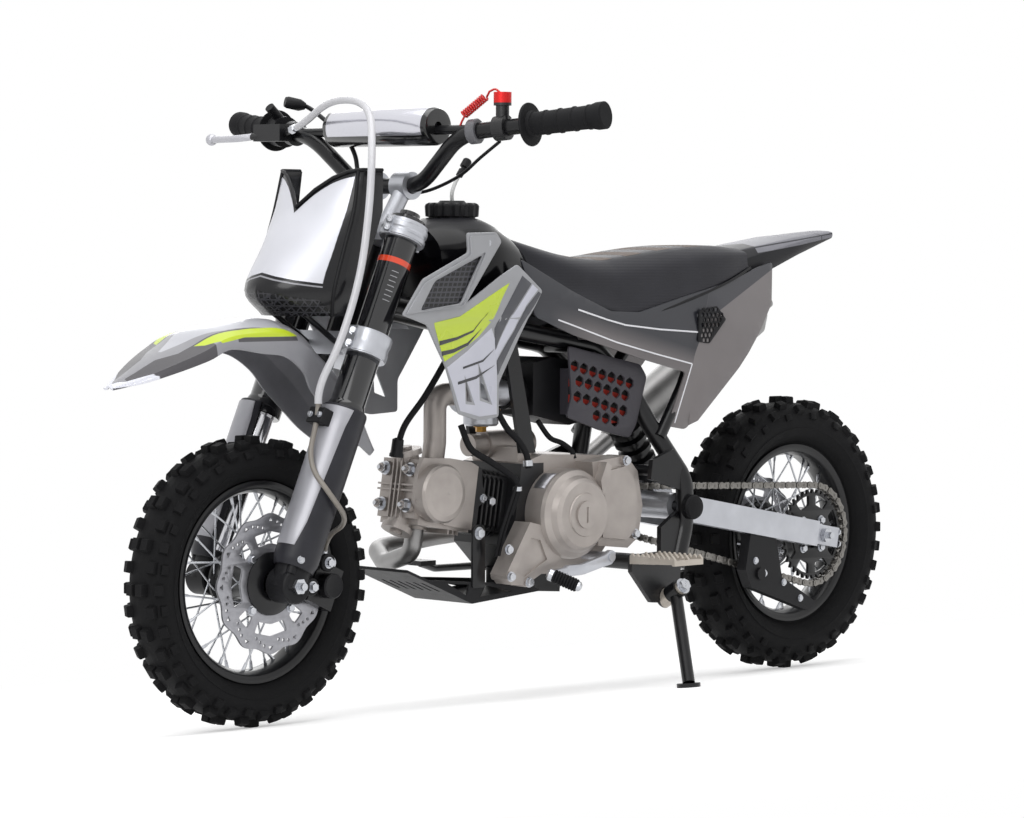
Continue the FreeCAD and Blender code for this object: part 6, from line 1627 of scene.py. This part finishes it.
# Where it hangs free, measured from the front axle
HOSE_BOW = (
    (-202, -60, 651), (-184, 40, 643), (-136, 96, 575), (-116, 112, 495), (-104, 108, 405), (-74, 100, 315),
)
HOSE_ROUTE = [
    outlet + outlet_way * 0.3, outlet + outlet_way * 30, *(FRONT_AXLE + Vector(spot) for spot in HOSE_BOW),
    hose_guard + Vector((0, 0, 40)), hose_guard, on_fork(158, 42, FORK_HALF_SPAN + 8),
    on_fork(122, 14, FORK_HALF_SPAN + 47), on_fork(108, -44, FORK_HALF_SPAN + 28),
    hose_end + Vector((0, 0, 34)), hose_end,
]
HOSE_RADIUS, OUTER_RADIUS = 3.6, 5.2
HOSE_GREY = plain("hose_grey", (118, 112, 106), (146, 140, 132), 0.05, 0.34, grain=0.04)
HOSE_PALE = plain("hose_pale", (186, 186, 190), (208, 208, 212), 0.02, 0.3, coat=0.3)


def spline_curve(name, route, radius):
    """A curve object along one smooth NURBS spline whose control points are the route's."""
    line = bpy.data.curves.new(name, "CURVE")
    line.dimensions, line.bevel_depth, line.bevel_resolution = "3D", radius / 1000, 4
    spline = line.splines.new("NURBS")
    spline.points.add(len(route) - 1)
    for spot, place in zip(spline.points, route):
        spot.co = (*(BIKE @ place), 1)
    spline.order_u, spline.use_endpoint_u, spline.resolution_u = 3, True, 12
    made = bpy.data.objects.new(name, line)
    bpy.context.scene.collection.objects.link(made)
    return made


hose = spline_curve("front_brake_hose", HOSE_ROUTE, HOSE_RADIUS)
hose.data.materials.append(HOSE_GREY)
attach(hose, "steering")
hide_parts("brake_hose")
bare_line = spline_curve("bare_line", HOSE_ROUTE, 0)
along_hose = [BIKE.inverted() @ vert.co for vert in bpy.data.meshes.new_from_object(bare_line).vertices]
bpy.data.objects.remove(bare_line)
above_guard = [spot for spot in along_hose if (spot - hose_guard).dot(fork_up) > 12]
sleeve = tube(above_guard[3:], OUTER_RADIUS, 16)
outer_tube = piece("hose_outer", sleeve, "steering", HOSE_PALE, smooth=60)
hex_end = lathe([(0, -2), (6.5, -2), (6.5, 8), (4.5, 10), (4.5, 20), (0, 20)], outlet, outlet_way, 6)
banjo = lathe([(0, -7), (8.5, -7), (8.5, 7), (0, 7)], hose_end + Vector((0, 8, 0)))
crimp = lathe([(0, 2), (5.4, 2), (5.4, 22), (4, 24), (0, 24)], hose_end, (0, 0, 1), 16)
hose_ends = bolts("hose_ends", "steering", hex_end, banjo, crimp)
fork_turn = Matrix((fork_ahead, Vector((0, 1, 0)), fork_up)).transposed().to_4x4()
on_guard = Matrix.Translation(hose_guard - fork_ahead * 3)
clamp = moved(block((-9, -15, -11), (9, 15, 11)), on_guard @ fork_turn)
hose_clamp = piece("hose_clamp", clamp, "steering", BLACK_PLASTIC, smooth=35, bevel=1.5)
screws = [bolt(hose_guard + fork_ahead * 6 + Vector((0, y, 0)), fork_ahead, 3.4, 3.5, 16) for y in (-9, 9)]
clamp_screws = bolts("hose_clamp_screws", "steering", *screws)
BIKE @ HOSE_ROUTE[0]

# Bar wiring: the throttle's cable on the right and the stop switch's thin lead on the left, both held
# at the bar and again behind the plate.
THROTTLE_CABLE = [Vector(spot) for spot in (
    (285, -215, 846), (257, -200, 839.5), (279.7, -130, 815.1), (282, -90, 792.1), (290.9, -62, 769.3),
    (300, -46, 745),
)]
SWITCH_LEAD = [
    (267.9, 200, 784.2), (245.8, 140, 763.4), (235.3, 90, 740.1), (253.4, 50, 720.4), (281.7, 20, 712.6),
]
SLEEVE = [(0, 0), (7, 0), (8.5, 4), (8.5, 22), (5, 30), (0, 30)]
runs = tube(eased(THROTTLE_CABLE, 8), 3.2, 12), tube(eased(SWITCH_LEAD, 8), 2.4, 10)
sleeve = lathe(SLEEVE, THROTTLE_CABLE[0], THROTTLE_CABLE[1] - THROTTLE_CABLE[0], 20)
piece("bar_wiring", joined(*runs, sleeve), "steering", BLACK_PLASTIC, smooth=50)

# Stop switch's lanyard: a thin red cord from the cap's clip, coiled along the bar down to its other
# end on the pad's crossbar.
LANYARD_TURNS, LANYARD_REACH, LANYARD_RADIUS = 11, 5.0, 1.5
switch = knee.lerp(bar_end, (222 - knee.y) / (bar_end.y - knee.y)) - outer_way * 9
coil_top, coil_foot = switch + Vector((6, -27, 42)), knee + Vector((2, 7, 24))
coil_side, coil_over = square_to(coil_foot - coil_top)
lanyard = eased([switch + Vector(step) for step in ((0, -4, 47), (2, -12, 52), (4, -21, 49))], 6)
for i in range(LANYARD_TURNS * 16 + 1):
    a = 2 * math.pi * i / 16
    round_line = coil_side * math.cos(a) + coil_over * math.sin(a)
    lanyard.append(coil_top.lerp(coil_foot, i / (LANYARD_TURNS * 16)) + round_line * LANYARD_REACH)
lanyard += [knee + Vector((0, 2, 16)), knee + Vector((0, -2, 9))]
lanyard_tube = piece("lanyard", tube(lanyard, LANYARD_RADIUS, 6), "steering", RED, smooth=60)
BIKE @ lanyard[0]
[BIKE @ spot for spot in lanyard]
